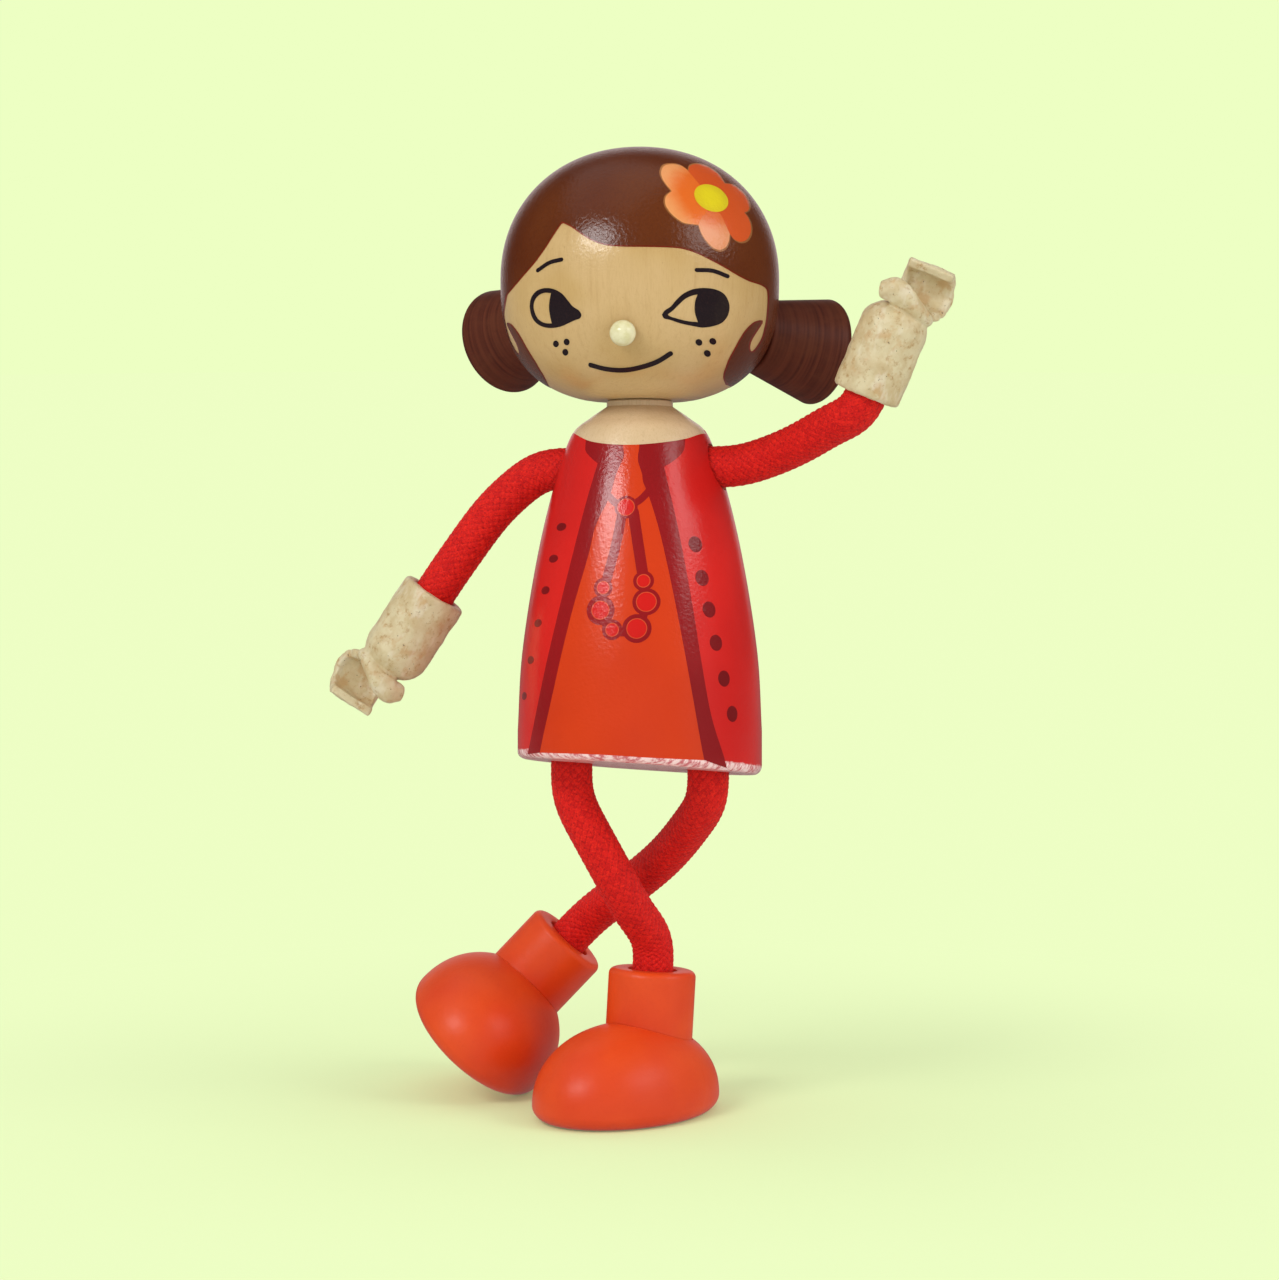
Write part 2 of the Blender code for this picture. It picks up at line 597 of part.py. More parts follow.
maple = new_material("maple", MAPLE)
dark_wood = new_material("dark_wood", DARK_WOOD)
red_lacquer = new_material("red_lacquer", RED_LACQUER)
orange_lacquer = new_material("orange_lacquer", ORANGE_LACQUER)
red_cord = new_material("red_cord", RED_CORD)
mottled_resin = new_material("mottled_resin", MOTTLED_RESIN)
cream_resin = new_material("cream_resin", CREAM_RESIN)
plain_dowel = new_material("plain_dowel", PLAIN_DOWEL)
soft_steel = new_material("soft_steel", SOFT_STEEL, 1.0)

torso_outline = [
    (NECK_RADIUS, NECK_FOOT_HEIGHT), (COLLARBONE_RADIUS, COLLARBONE_HEIGHT),
    (SHOULDER_RADIUS, SHOULDER_HEIGHT), (ARMPIT_RADIUS, ARMPIT_HEIGHT), (CHEST_RADIUS, CHEST_HEIGHT),
    (WAIST_RADIUS, WAIST_HEIGHT), (BASE_RADIUS, BASE_HEIGHT),
]
arm_mouth = torso_surface_radius(ARM_HOLE_HEIGHT)
head_seat_drop = quarter_oval(HEAD_RADIUS, HEAD_CHIN, CHIN_POWER, HEAD_SEAT_RADIUS, 1)[-1][1]
head_level = NECK_HEIGHT + CLEARANCE + head_seat_drop

collar_local = Matrix.Translation((0, COLLAR_SETBACK, COLLAR_SEAT)) @ turn((COLLAR_LEAN, 0, 0))
leaning = Matrix.Translation(TORSO_PLACE) @ turn((TORSO_LEAN, 0, 0))
torso_frame = new_frame("torso_frame", leaning @ turn((0, 0, TORSO_YAW)))
head_place = leaning @ Matrix.Translation((0, 0, head_level))
head_frame = new_frame("head_frame", head_place @ turn((0, 0, HEAD_YAW)))
hand_frames = {
    "left": new_frame("left_hand_frame", Matrix.Translation(LEFT_HAND_PLACE) @ turn(LEFT_HAND_TURN)),
    "right": new_frame("right_hand_frame", Matrix.Translation(RIGHT_HAND_PLACE) @ turn(RIGHT_HAND_TURN)),
}
foot_frames = {
    "left": new_frame("left_foot_frame", Matrix.Translation(LEFT_FOOT_PLACE) @ turn(LEFT_FOOT_TURN)),
    "right": new_frame("right_foot_frame", Matrix.Translation(RIGHT_FOOT_PLACE) @ turn(RIGHT_FOOT_TURN)),
}

make_torso()
make_head()
down = Vector((0, 0, -1))
up = Vector((0, 0, 1))
arm_routes = {"left": LEFT_ARM_ROUTE, "right": RIGHT_ARM_ROUTE}
leg_routes = {"left": LEFT_LEG_ROUTE, "right": RIGHT_LEG_ROUTE}
torso_matrix = torso_frame.matrix_world
for name, side in (("left", 1), ("right", -1)):
    make_hand(name + "_hand", hand_frames[name])
    make_shoe(name, foot_frames[name])
    shoulder = hole_points(torso_matrix, Vector((side * arm_mouth, 0, ARM_HOLE_HEIGHT)),
                           Vector((-side, 0, 0)), ARM_HOLE_DEPTH, SHOULDER_SETBACK)
    wrist = hole_points(hand_frames[name].matrix_world, Vector(), up, CUFF_HOLE_DEPTH, WRIST_SETBACK)
    make_limb(name + "_arm", ("shoulder", "upper", "fore", "wrist"), shoulder, arm_routes[name], wrist,
              hand_frames[name])
    hip = hole_points(torso_matrix, Vector((side * HIP_SPREAD, 0, 0)), up, HIP_HOLE_DEPTH, HIP_SETBACK)
    ankle = hole_points(foot_frames[name].matrix_world @ collar_local, Vector((0, 0, COLLAR_HEIGHT)), down,
                        ANKLE_HOLE_DEPTH, ANKLE_SETBACK)
    make_limb(name + "_leg", ("hip", "thigh", "shin", "ankle"), hip, leg_routes[name], ankle,
              foot_frames[name])
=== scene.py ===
import math
import bpy
from mathutils import Euler, Matrix, Vector


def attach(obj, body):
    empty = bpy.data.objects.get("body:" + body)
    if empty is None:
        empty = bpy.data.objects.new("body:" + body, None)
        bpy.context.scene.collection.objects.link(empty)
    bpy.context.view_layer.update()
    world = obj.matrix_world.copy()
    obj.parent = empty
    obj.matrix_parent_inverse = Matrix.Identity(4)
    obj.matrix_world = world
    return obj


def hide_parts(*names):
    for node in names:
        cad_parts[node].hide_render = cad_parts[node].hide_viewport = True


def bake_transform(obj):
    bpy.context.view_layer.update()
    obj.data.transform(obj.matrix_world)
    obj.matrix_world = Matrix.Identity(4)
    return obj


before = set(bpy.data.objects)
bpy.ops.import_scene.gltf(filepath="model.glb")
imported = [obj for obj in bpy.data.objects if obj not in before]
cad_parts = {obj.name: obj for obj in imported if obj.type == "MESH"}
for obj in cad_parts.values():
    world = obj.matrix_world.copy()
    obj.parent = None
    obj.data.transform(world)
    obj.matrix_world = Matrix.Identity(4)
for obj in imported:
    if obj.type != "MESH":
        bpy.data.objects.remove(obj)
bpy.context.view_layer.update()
mm = 0.001
scene = bpy.context.scene
scene.view_settings.view_transform = "Standard"


def turn(x, y, z):
    return Euler([math.radians(v) for v in (x, y, z)], "ZYX").to_matrix().to_4x4()


def shift(x, y, z):
    return Matrix.Translation(Vector((x, y, z)) * mm)


# Where the pieces stand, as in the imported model
stance = {
    "torsoAt": (2.1, -5.0, 54.5), "torsoLean": -8, "torsoYaw": -12,
    "headLift": 73.3275, "headYaw": -7,
    "leftHandAt": (35.8, -16.5, 112.3), "leftHandTurn": (0, 22, 0),
    "rightHandAt": (-29.4, 6.5, 79.0), "rightHandTurn": (0, 213, 0),
    "leftFootAt": (-24.4, 19.1, 7.3), "leftFootTurn": (10, 42, -13),
    "rightFootAt": (0, 0, 0), "rightFootTurn": (0, 0, -40),
    "collarAt": (0, 5.2, 8.8), "collarLean": -5,
}
leaning = shift(*stance["torsoAt"]) @ turn(stance["torsoLean"], 0, 0)
torsoPlace = leaning @ turn(0, 0, stance["torsoYaw"])
headPlace = leaning @ shift(0, 0, stance["headLift"]) @ turn(0, 0, stance["headYaw"])
handPlaces, footPlaces = [{side: shift(*stance[side + end + "At"]) @ turn(*stance[side + end + "Turn"])
                           for side in ("left", "right")} for end in ("Hand", "Foot")]
collarLocal = shift(*stance["collarAt"]) @ turn(stance["collarLean"], 0, 0)


# Camera and light
view = {"eye": (2.052, -791.275, 170.156), "tilt": 7.0, "focus": 5263.0, "size": (1279, 1280),
        "middle": (639.5, 640.0)}
mmPerPixel = 0.152  # how much one pixel of the photograph is, at the doll
fineSides = 160  # round the head and the torso


def setCamera():
    bpy.ops.object.camera_add(location=Vector(view["eye"]) * mm,
                              rotation=(math.radians(90 - view["tilt"]), 0, 0))
    camera = bpy.context.object
    camera.data.sensor_fit = "HORIZONTAL"
    camera.data.sensor_width = 36.0
    camera.data.lens = 36.0 * view["focus"] / view["size"][0]
    camera.data.clip_start = 0.01
    scene.camera = camera
    bpy.context.view_layer.update()
    return camera


camera = setCamera()


def sightLine(pixel):
    # direction from the eye through a pixel of the photograph, in the room
    across = (pixel[0] - view["middle"][0]) / view["focus"]
    up = (view["middle"][1] - pixel[1]) / view["focus"]
    return camera.matrix_world.to_3x3() @ Vector((across, up, -1.0))


def fromHex(code):
    parts = [int(code[i:i + 2], 16) / 255 for i in (1, 3, 5)]
    return tuple(p / 12.92 if p <= 0.04045 else ((p + 0.055) / 1.055) ** 2.4 for p in parts) + (1.0,)


room = {
    "backdrop": "#edffc3", "paper": "#e7f9bf", "fibreTint": "#eefdc6", "fibreScale": 900.0,
    "floorRadius": 1.6, "floorDrop": 0.00002, "bounce": (0.78, 0.80, 0.74, 1),
    # what a gloss mirrors: a pale screen behind the doll, dark elsewhere, a pale floor near the doll
    "screen": (0.80, 0.68, 0.68, 1), "dark": (0.02, 0.018, 0.018, 1), "screenEdge": (0.82, 0.985),
    "sheen": (0.88, 0.82, 0.80, 1), "sheenReach": (0.025, 0.09), "sheenShare": (0.45, 0.2),
    # how far from the doll the floor keeps its shadow
    "shadowReach": (0.025, 0.15), "shadowShare": (0.85, 0.0),
    "fill": (1, 1, 0.98, 1), "fillStrength": 0.55,
}
lamps = {
    # name: (direction from the doll, distance, width, height, watts)
    "keyLamp": ((-0.54, -0.62, 0.60), 0.8, 0.34, 0.22, 2.4),
    "rightLamp": ((0.86, -0.40, 0.66), 0.8, 0.42, 0.30, 1.2),
    "frontFill": ((0.10, -0.95, 0.02), 0.8, 0.70, 0.40, 0.55),
    "topLamp": ((-0.22, 0.12, 0.95), 0.8, 0.90, 0.80, 0.8),
    "leftRim": ((-0.72, 0.66, 0.14), 0.75, 0.45, 0.60, 0.6),
    "rightRim": ((0.70, 0.68, 0.14), 0.75, 0.40, 0.60, 0.6),
    "rightFill": ((0.86, -0.48, 0.10), 0.8, 0.50, 0.60, 1.1),
}


def hangLamps():
    centre = Vector((0, 0, 80)) * mm
    for name, (towards, distance, width, height, watts) in lamps.items():
        direction = Vector(towards).normalized()
        bpy.ops.object.light_add(type="AREA", location=centre + direction * distance)
        lamp = bpy.context.object
        lamp.name = name
        lamp.rotation_euler = direction.to_track_quat("Z", "Y").to_euler()
        lamp.data.shape = "RECTANGLE"
        lamp.data.size = width
        lamp.data.size_y = height
        lamp.data.energy = watts
        lamp.visible_glossy = "Rim" not in name and "Fill" not in name


def node(tree, kind, **inputs):
    # a new node, its sockets named by words or, as in0 is, by number
    made = tree.nodes.new(kind)
    for name, value in inputs.items():
        numbered = name.startswith("in") and name[2:].isdigit()
        socket = made.inputs[int(name[2:]) if numbered else name.replace("_", " ")]
        if isinstance(value, bpy.types.NodeSocket):
            tree.links.new(value, socket)
        else:
            socket.default_value = value
    return made


def stretched(tree, coordinates, x, y, z):
    return node(tree, "ShaderNodeMapping", Vector=coordinates, Scale=(x, y, z)).outputs[0]


def noise(tree, coordinates, scale, detail=2.0, rough=0.5):
    made = node(tree, "ShaderNodeTexNoise", Vector=coordinates, Scale=scale, Detail=detail, Roughness=rough)
    return made.outputs[0]


def ranged(tree, value, low, high, toLow=0.0, toHigh=1.0, smooth=True):
    made = node(tree, "ShaderNodeMapRange", Value=value, From_Min=low, From_Max=high, To_Min=toLow,
                To_Max=toHigh)
    made.interpolation_type = "SMOOTHSTEP" if smooth else "LINEAR"
    return made.outputs[0]


def sums(tree, operation, first, second=0.0):
    made = node(tree, "ShaderNodeMath", in0=first, in1=second)
    made.operation = operation
    return made.outputs[0]


def blendTints(tree, share, first, second):
    # tints are hex codes or outputs
    made = tree.nodes.new("ShaderNodeMix")
    made.data_type = "RGBA"
    for number, value in ((0, share), (6, first), (7, second)):
        if isinstance(value, bpy.types.NodeSocket):
            tree.links.new(value, made.inputs[number])
        else:
            made.inputs[number].default_value = fromHex(value) if isinstance(value, str) else value
    return made.outputs[2]


def either(tree, share, first, second):
    # the second shader as far as the share says
    return node(tree, "ShaderNodeMixShader", in0=share, in1=first.outputs[0], in2=second.outputs[0])


def seenDirectly(tree, path):
    # 1 for rays from the camera, off a gloss or through glass
    first = sums(tree, "MAXIMUM", path.outputs["Is Camera Ray"], path.outputs["Is Glossy Ray"])
    return sums(tree, "MAXIMUM", first, path.outputs["Is Transmission Ray"])


def lightRoom():
    world = bpy.data.worlds.new("paleRoom")
    scene.world = world
    world.use_nodes = True
    tree = world.node_tree
    tree.nodes.clear()
    path = tree.nodes.new("ShaderNodeLightPath")
    wall = node(tree, "ShaderNodeBackground", Color=fromHex(room["backdrop"]), Strength=1.0)
    screen = node(tree, "ShaderNodeBackground", Color=room["screen"], Strength=1.0)
    dark = node(tree, "ShaderNodeBackground", Color=room["dark"], Strength=1.0)
    fill = node(tree, "ShaderNodeBackground", Color=room["fill"], Strength=room["fillStrength"])
    where = tree.nodes.new("ShaderNodeTexCoord").outputs["Generated"]
    way = node(tree, "ShaderNodeSeparateXYZ", Vector=where)
    behind = ranged(tree, way.outputs[1], *room["screenEdge"])
    screened = either(tree, behind, dark, screen)
    seen = either(tree, path.outputs["Is Camera Ray"], screened, wall)
    mix = either(tree, seenDirectly(tree, path), fill, seen)
    out = tree.nodes.new("ShaderNodeOutputWorld")
    tree.links.new(mix.outputs[0], out.inputs[0])


def layFloor():
    bpy.ops.object.select_all(action="DESELECT")
    bpy.ops.mesh.primitive_circle_add(vertices=96, radius=room["floorRadius"], fill_type="NGON",
                                      location=(0, 0, -room["floorDrop"]))
    floor = bpy.context.object
    floor.name = "paleFloor"
    bpy.ops.object.transform_apply(location=True, rotation=False, scale=False)
    material = bpy.data.materials.new("paleFloorPaper")
    material.use_nodes = True
    tree = material.node_tree
    tree.nodes.clear()
    path = tree.nodes.new("ShaderNodeLightPath")
    where = tree.nodes.new("ShaderNodeTexCoord").outputs["Object"]
    length = node(tree, "ShaderNodeVectorMath", in0=where)
    length.operation = "LENGTH"
    far = length.outputs["Value"]
    fade = ranged(tree, far, *room["shadowReach"], *room["shadowShare"])
    near = ranged(tree, far, *room["sheenReach"], *room["sheenShare"], smooth=False)
    tint = blendTints(tree, noise(tree, where, room["fibreScale"]), room["backdrop"], room["fibreTint"])
    glow = node(tree, "ShaderNodeEmission", Color=tint, Strength=1.0)
    sheen = node(tree, "ShaderNodeEmission", Color=room["sheen"], Strength=near)
    paper = node(tree, "ShaderNodeBsdfDiffuse", Color=fromHex(room["paper"]))
    plain = node(tree, "ShaderNodeBsdfDiffuse", Color=room["bounce"])
    shown = either(tree, fade, glow, paper)
    looked = either(tree, path.outputs["Is Glossy Ray"], shown, sheen)
    mix = either(tree, seenDirectly(tree, path), plain, looked)
    out = tree.nodes.new("ShaderNodeOutputMaterial")
    tree.links.new(mix.outputs[0], out.inputs["Surface"])
    floor.data.materials.append(material)


hangLamps()
lightRoom()
layFloor()
print("camera, lamps and floor are set")


# Bench tools: pieces are shaped in millimetres about their own axis, then put in place
def pick(*pieces):
    if bpy.context.object and bpy.context.object.mode != "OBJECT":
        bpy.ops.object.mode_set(mode="OBJECT")
    bpy.ops.object.select_all(action="DESELECT")
    for piece in pieces:
        piece.select_set(True)
    if pieces:
        bpy.context.view_layer.objects.active = pieces[0]


def applyAll(piece):
    pick(piece)
    for modifier in list(piece.modifiers):
        bpy.ops.object.modifier_apply(modifier=modifier.name)


def smoothThrough(points, perSpan=8):
    # a curve through points that neither loops nor overshoots
    ends = [points[0] * 2 - points[1]] + list(points) + [points[-1] * 2 - points[-2]]
    knots = [0.0]
    for a, b in zip(ends, ends[1:]):
        knots.append(knots[-1] + math.sqrt(max((b - a).length, 1e-9)))
    made = [points[0].copy()]
    for i in range(1, len(ends) - 2):
        four, k = ends[i - 1:i + 3], knots[i - 1:i + 3]
        for step in range(1, perSpan + 1):
            t = k[1] + (k[2] - k[1]) * step / perSpan
            one = [four[j].lerp(four[j + 1], (t - k[j]) / (k[j + 1] - k[j])) for j in range(3)]
            two = [one[j].lerp(one[j + 1], (t - k[j]) / (k[j + 2] - k[j])) for j in range(2)]
            made.append(two[0].lerp(two[1], (t - k[1]) / (k[2] - k[1])))
    return made


def roundCorner(radius, height, size, start, end, steps=6):
    return [(radius + size * math.cos(math.radians(start + (end - start) * i / steps)),
             height + size * math.sin(math.radians(start + (end - start) * i / steps)))
            for i in range(steps + 1)]


def quarterOval(radius, height, power, leastRadius, steps):
    # from the widest ring to the least radius
    last = math.acos((leastRadius / radius) ** (power / 2))
    return [(radius * max(math.cos(last * i / steps), 0) ** (2 / power),
             height * math.sin(last * i / steps) ** (2 / power)) for i in range(steps + 1)]


def turnOnLathe(name, profile, sides=96, angle=35):
    # one point is drawn along the profile and spun round the axis
    pick()
    bpy.ops.mesh.primitive_plane_add(size=1, location=(0, 0, 0))
    piece = bpy.context.object
    piece.name = name
    bpy.ops.object.mode_set(mode="EDIT")
    bpy.ops.mesh.select_all(action="SELECT")
    bpy.ops.mesh.merge(type="CENTER")
    radius, height = profile[0]
    bpy.ops.transform.translate(value=(radius, 0, height))
    for nextRadius, nextHeight in profile[1:]:
        bpy.ops.mesh.extrude_vertices_move(
            TRANSFORM_OT_translate={"value": (nextRadius - radius, 0, nextHeight - height)})
        radius, height = nextRadius, nextHeight
    bpy.ops.mesh.select_all(action="SELECT")
    bpy.ops.mesh.spin(steps=sides, angle=math.tau, center=(0, 0, 0), axis=(0, 0, 1))
    bpy.ops.mesh.select_all(action="SELECT")
    bpy.ops.mesh.remove_doubles(threshold=0.002)
    bpy.ops.mesh.normals_make_consistent(inside=False)
    bpy.ops.object.mode_set(mode="OBJECT")
    bpy.ops.object.shade_smooth_by_angle(angle=math.radians(angle))
    return piece


def copyOf(piece, name):
    twin = piece.copy()
    twin.data = piece.data.copy()
    twin.name = name
    scene.collection.objects.link(twin)
    return twin


def cut(piece, cutter, how="DIFFERENCE"):
    boolean = piece.modifiers.new("cut", "BOOLEAN")
    boolean.operation = how
    boolean.solver = "EXACT"
    boolean.object = cutter
    applyAll(piece)


def binCutters(*cutters):
    for cutter in cutters:
        bpy.data.objects.remove(cutter, do_unlink=True)


def drillBit(start, end, radius, sides=48):
    along = Vector(end) - Vector(start)
    pick()
    bpy.ops.mesh.primitive_cylinder_add(vertices=sides, radius=radius, depth=along.length,
                                        location=(Vector(start) + Vector(end)) / 2,
                                        rotation=along.to_track_quat("Z", "X").to_euler())
    bit = bpy.context.object
    bpy.ops.object.transform_apply(location=True, rotation=True, scale=True)
    return bit


def drill(piece, start, end, radius, sides=48):
    bit = drillBit(start, end, radius, sides)
    cut(piece, bit)
    binCutters(bit)


def stencil(name, outlines, depth=30.0, behind=0.0):
    # outlines in the front view (across, up), filled, as deep as the piece in front of its axis
    flat = bpy.data.curves.new(name, "CURVE")
    flat.dimensions = "2D"
    flat.fill_mode = "BOTH"
    flat.extrude = (depth + behind) / 2
    for outline in outlines:
        spline = flat.splines.new("POLY")
        spline.points.add(len(outline) - 1)
        for point, (across, up) in zip(spline.points, outline):
            point.co = (across, up, 0, 1)
        spline.use_cyclic_u = True
    shape = bpy.data.objects.new(name, flat)
    scene.collection.objects.link(shape)
    shape.rotation_euler = (math.radians(90), 0, 0)
    shape.location = (0, (behind - depth) / 2, 0)
    pick(shape)
    bpy.ops.object.convert(target="MESH")
    bpy.ops.object.transform_apply(location=True, rotation=True, scale=True)
    bpy.ops.object.mode_set(mode="EDIT")
    bpy.ops.mesh.select_all(action="SELECT")
    bpy.ops.mesh.remove_doubles(threshold=0.0005)
    bpy.ops.mesh.normals_make_consistent(inside=False)
    bpy.ops.object.mode_set(mode="OBJECT")
    return shape


def joinPieces(first, *others):
    pick(first, *others)
    if others:
        bpy.ops.object.join()
    return first


def settle(piece, place, finish, body, replaced=(), slot=None):
    # from the bench into the doll: its place goes into its mesh
    piece.data.transform(place @ Matrix.Scale(mm, 4))
    piece.data.update()
    piece.data.materials.clear()
    piece.data.materials.append(finish)
    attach(piece, body)
    if replaced:
        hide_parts(*replaced)
    return piece


def traceOn(surface, place, pixels):
    # where sight lines through traced pixels meet a bench piece, in its front view
    back = place.inverted()
    eye = back @ camera.matrix_world.translation / mm
    spots = []
    for pixel in pixels:
        along = back.to_3x3() @ sightLine(pixel)
        hit, spot = surface.ray_cast(eye, along.normalized())[:2]
        if not hit:
            spot = eye + along * (-eye.y / along.y)
        spots.append(Vector((spot.x, spot.z)))
    return spots


def onFront(surface, spot):
    # the place on a bench piece behind a spot of its front view
    return surface.ray_cast(Vector((spot.x, -60, spot.y)), Vector((0, 1, 0)))[1]


def aroundLine(line, width):
    # outline of a brush stroke with round ends along a smooth line
    left, right = [], []
    for i, spot in enumerate(line):
        along = (line[min(i + 1, len(line) - 1)] - line[max(i - 1, 0)]).normalized()
        aside = Vector((-along.y, along.x)) * width / 2
        left.append(spot + aside)
        right.append(spot - aside)
    ends = []
    for spot, first in ((line[-1], left[-1]), (line[0], right[0])):
        arm = first - spot
        ends.append([spot + Matrix.Rotation(-math.pi * k / 8, 2) @ arm for k in range(1, 8)])
    return left + ends[0] + right[::-1] + ends[1]


def reach(spot, start, end):
    # how far a spot is from a straight side
    side = end - start
    share = (spot - start).dot(side) / max(side.length_squared, 1e-9)
    return (spot - start - side * min(max(share, 0.0), 1.0)).length


def widened(outline, by):
    # the outline moved outwards by a distance, without the points that a tight bend would turn over
    area = sum(a.x * b.y - b.x * a.y for a, b in zip(outline, outline[1:] + outline[:1]))
    way = 1 if area > 0 else -1
    moved = []
    for i, spot in enumerate(outline):
        along = outline[(i + 1) % len(outline)] - outline[i - 1]
        along = along.normalized() if along.length > 1e-6 else Vector((1, 0))
        moved.append(spot + Vector((along.y, -along.x)) * by * way)
    sides = list(zip(outline, outline[1:] + outline[:1]))
    return [spot for spot in moved if min(reach(spot, a, b) for a, b in sides) >= 0.95 * abs(by)]


def disc(centre, radius, steps=40):
    return [Vector((centre.x + radius * math.cos(math.tau * k / steps),
                    centre.y + radius * math.sin(math.tau * k / steps))) for k in range(steps)]


def paintFilm(name, blank, steps, lift, sink=0.02):
    # a thin film of paint over the wood, cut to its outline
    film = copyOf(blank, name)
    skin = film.modifiers.new("film", "SOLIDIFY")
    skin.thickness = lift + sink
    skin.offset = (lift - sink) / (lift + sink)
    applyAll(film)
    for how, cutter in steps:
        cut(film, cutter, how)
    pick(film)
    bpy.ops.object.shade_smooth_by_angle(angle=math.radians(30))
    print(name, "has", len(film.data.polygons), "faces")
    return film


def printOn(name, blank, shapes, lift, finish, where, after=()):
    # paint inside flat outlines, a list of them for each separate shape
    block = joinPieces(*[stencil(name + "Shape", outlines) for outlines in shapes])
    film = paintFilm(name, blank, [("INTERSECT", block), *after], lift)
    binCutters(block)
    settle(film, finish=finish, **where)


# Finishes
def benchCoordinates(tree, place):
    # millimetres about the piece's own axis, from the object's coordinates
    where = tree.nodes.new("ShaderNodeTexCoord")
    mapping = node(tree, "ShaderNodeMapping", Vector=where.outputs["Object"],
                   Location=place.translation, Rotation=place.to_euler("XYZ"), Scale=(mm, mm, mm))
    mapping.vector_type = "TEXTURE"
    return mapping.outputs[0]


def newFinish(name):
    material = bpy.data.materials.new(name)
    material.use_nodes = True
    tree = material.node_tree
    tree.nodes.clear()
    shader = tree.nodes.new("ShaderNodeBsdfPrincipled")
    out = tree.nodes.new("ShaderNodeOutputMaterial")
    tree.links.new(shader.outputs[0], out.inputs["Surface"])
    return material, tree, shader


def bumped(tree, height, distance, strength=1.0, over=None):
    made = node(tree, "ShaderNodeBump", Height=height, Strength=strength, Distance=distance)
    if over:
        tree.links.new(over, made.inputs["Normal"])
    return made.outputs[0]


def orangePeel(tree, coordinates, size=0.6, depth=0.014):
    # the faint ripple of sprayed lacquer
    ripple = noise(tree, coordinates, 1.0 / size, 3.0, 0.55)
    return bumped(tree, ripple, depth * mm * 4)


def lacquer(tree, shader, tint, peel, gloss=0.2, under=0.5, coat=0.9):
    tree.links.new(tint, shader.inputs["Base Color"])
    for name, value in (("Roughness", under), ("Specular IOR Level", 0.06), ("Coat Weight", coat),
                        ("Coat Roughness", gloss)):
        shader.inputs[name].default_value = value
    for name in ("Coat Normal", "Normal"):
        tree.links.new(peel, shader.inputs[name])


def layTints(tree, at, tint, layers):
    # each layer: tint, share, the noise's range, its scale, detail, roughness and stretch
    for over, share, low, high, scale, detail, rough, stretch in layers:
        where = stretched(tree, at, *stretch) if stretch else at
        pattern = noise(tree, where, scale, detail, rough)
        tint = blendTints(tree, ranged(tree, pattern, low, high, 0.0, share), tint, over)
    return tint


def sprayed(name, place, first, layers, peel=(0.6, 0.014), paintedReflection=None, **coat):
    # paint or bare wood under clear lacquer
    material, tree, shader = newFinish(name)
    at = benchCoordinates(tree, place)
    tint = layTints(tree, at, first, layers)
    # a painted reflection, where one is given, goes over the tint
    if paintedReflection:
        tint = paintedReflection(tree, at, tint)
    lacquer(tree, shader, tint, orangePeel(tree, at, *peel), **coat)
    return material


def lacqueredMaple(place, light="#d1b07b", deep="#c6a368", streak="#b48c52"):
    return sprayed("lacqueredMaple", place, light, [
        (deep, 1.0, 0.35, 0.65, 0.07, 2.0, 0.5, None),
        (streak, 0.36, 0.48, 0.80, 1.3, 5.0, 0.62, (1.0, 1.0, 0.05)),
        ("#b58a50", 0.22, 0.45, 0.75, 6.0, 3.0, 0.6, (1.0, 1.0, 0.12)),
        ("#8a6436", 0.3, 0.72, 0.80, 4.2, 1.0, 0.5, (1.0, 1.0, 0.35))])


def brownHairPaint(place):
    return sprayed("brownHairPaint", place, "#5e2709", [
        ("#67300f", 1.0, 0.35, 0.65, 0.06, 2.0, 0.5, None),
        ("#4a1d09", 0.3, 0.45, 0.75, 2.4, 4.0, 0.6, None)], peel=(0.55, 0.019))


def satinBunchPaint(place, name):
    material, tree, shader = newFinish(name)
    at = benchCoordinates(tree, place)
    rings = noise(tree, stretched(tree, at, 0.02, 0.02, 1.0), 2.2, 3.0, 0.5)
    tint = blendTints(tree, ranged(tree, rings, 0.3, 0.7), "#63301f", "#4b2015")
    tint = layTints(tree, at, tint, [("#643420", 0.5, 0.4, 0.7, 0.25, 3.0, 0.6, None)])
    peel = bumped(tree, rings, 0.02 * mm, 0.6, orangePeel(tree, at, 0.6, 0.004))
    lacquer(tree, shader, tint, peel, gloss=0.40, under=0.55, coat=0.2)
    return material


def clothPaint(name, place, main, shade, gloss=0.19, paintedReflection=None):
    # printed cloth colours
    return sprayed(name, place, main, [
        (shade, 1.0, 0.3, 0.7, 0.05, 2.0, 0.5, None),
        (shade, 0.35, 0.52, 0.78, 3.0, 4.0, 0.65, None)], peel=(0.55, 0.012), paintedReflection=paintedReflection, gloss=gloss)


def baseFloorReflection(tree, at, tint):
    # painted reflection: the red turns pale pink in ragged streaks round the lower edge and underneath,
    # standing in for the pale floor mirrored in the gloss
    slopes = [math.tan(math.radians(torsoSizes[key])) for key in ("baseSlope", "baseBackSlope")]
    high = node(tree, "ShaderNodeVectorMath", in0=at, in1=(slopes[0], slopes[1], 1.0))
    high.operation = "DOT_PRODUCT"
    ragged = noise(tree, stretched(tree, at, 0.35, 0.35, 1.0), 1.6, 4.0, 0.65)
    level = sums(tree, "ADD", high.outputs["Value"], sums(tree, "MULTIPLY", ragged, 0.9))
    streaks = noise(tree, stretched(tree, at, 0.3, 0.9, 0.3), 2.2, 4.0, 0.7)
    pale = blendTints(tree, ranged(tree, streaks, 0.42, 0.62), "#ffdcd8", "#d26a6e")
    return blendTints(tree, ranged(tree, level, 1.75, 1.35), tint, pale)


def inkBlack(place):
    return sprayed("inkBlack", place, "#21171c", [
        ("#33201f", 1.0, 0.45, 0.8, 4.0, 4.0, 0.65, None)], coat=0.5)


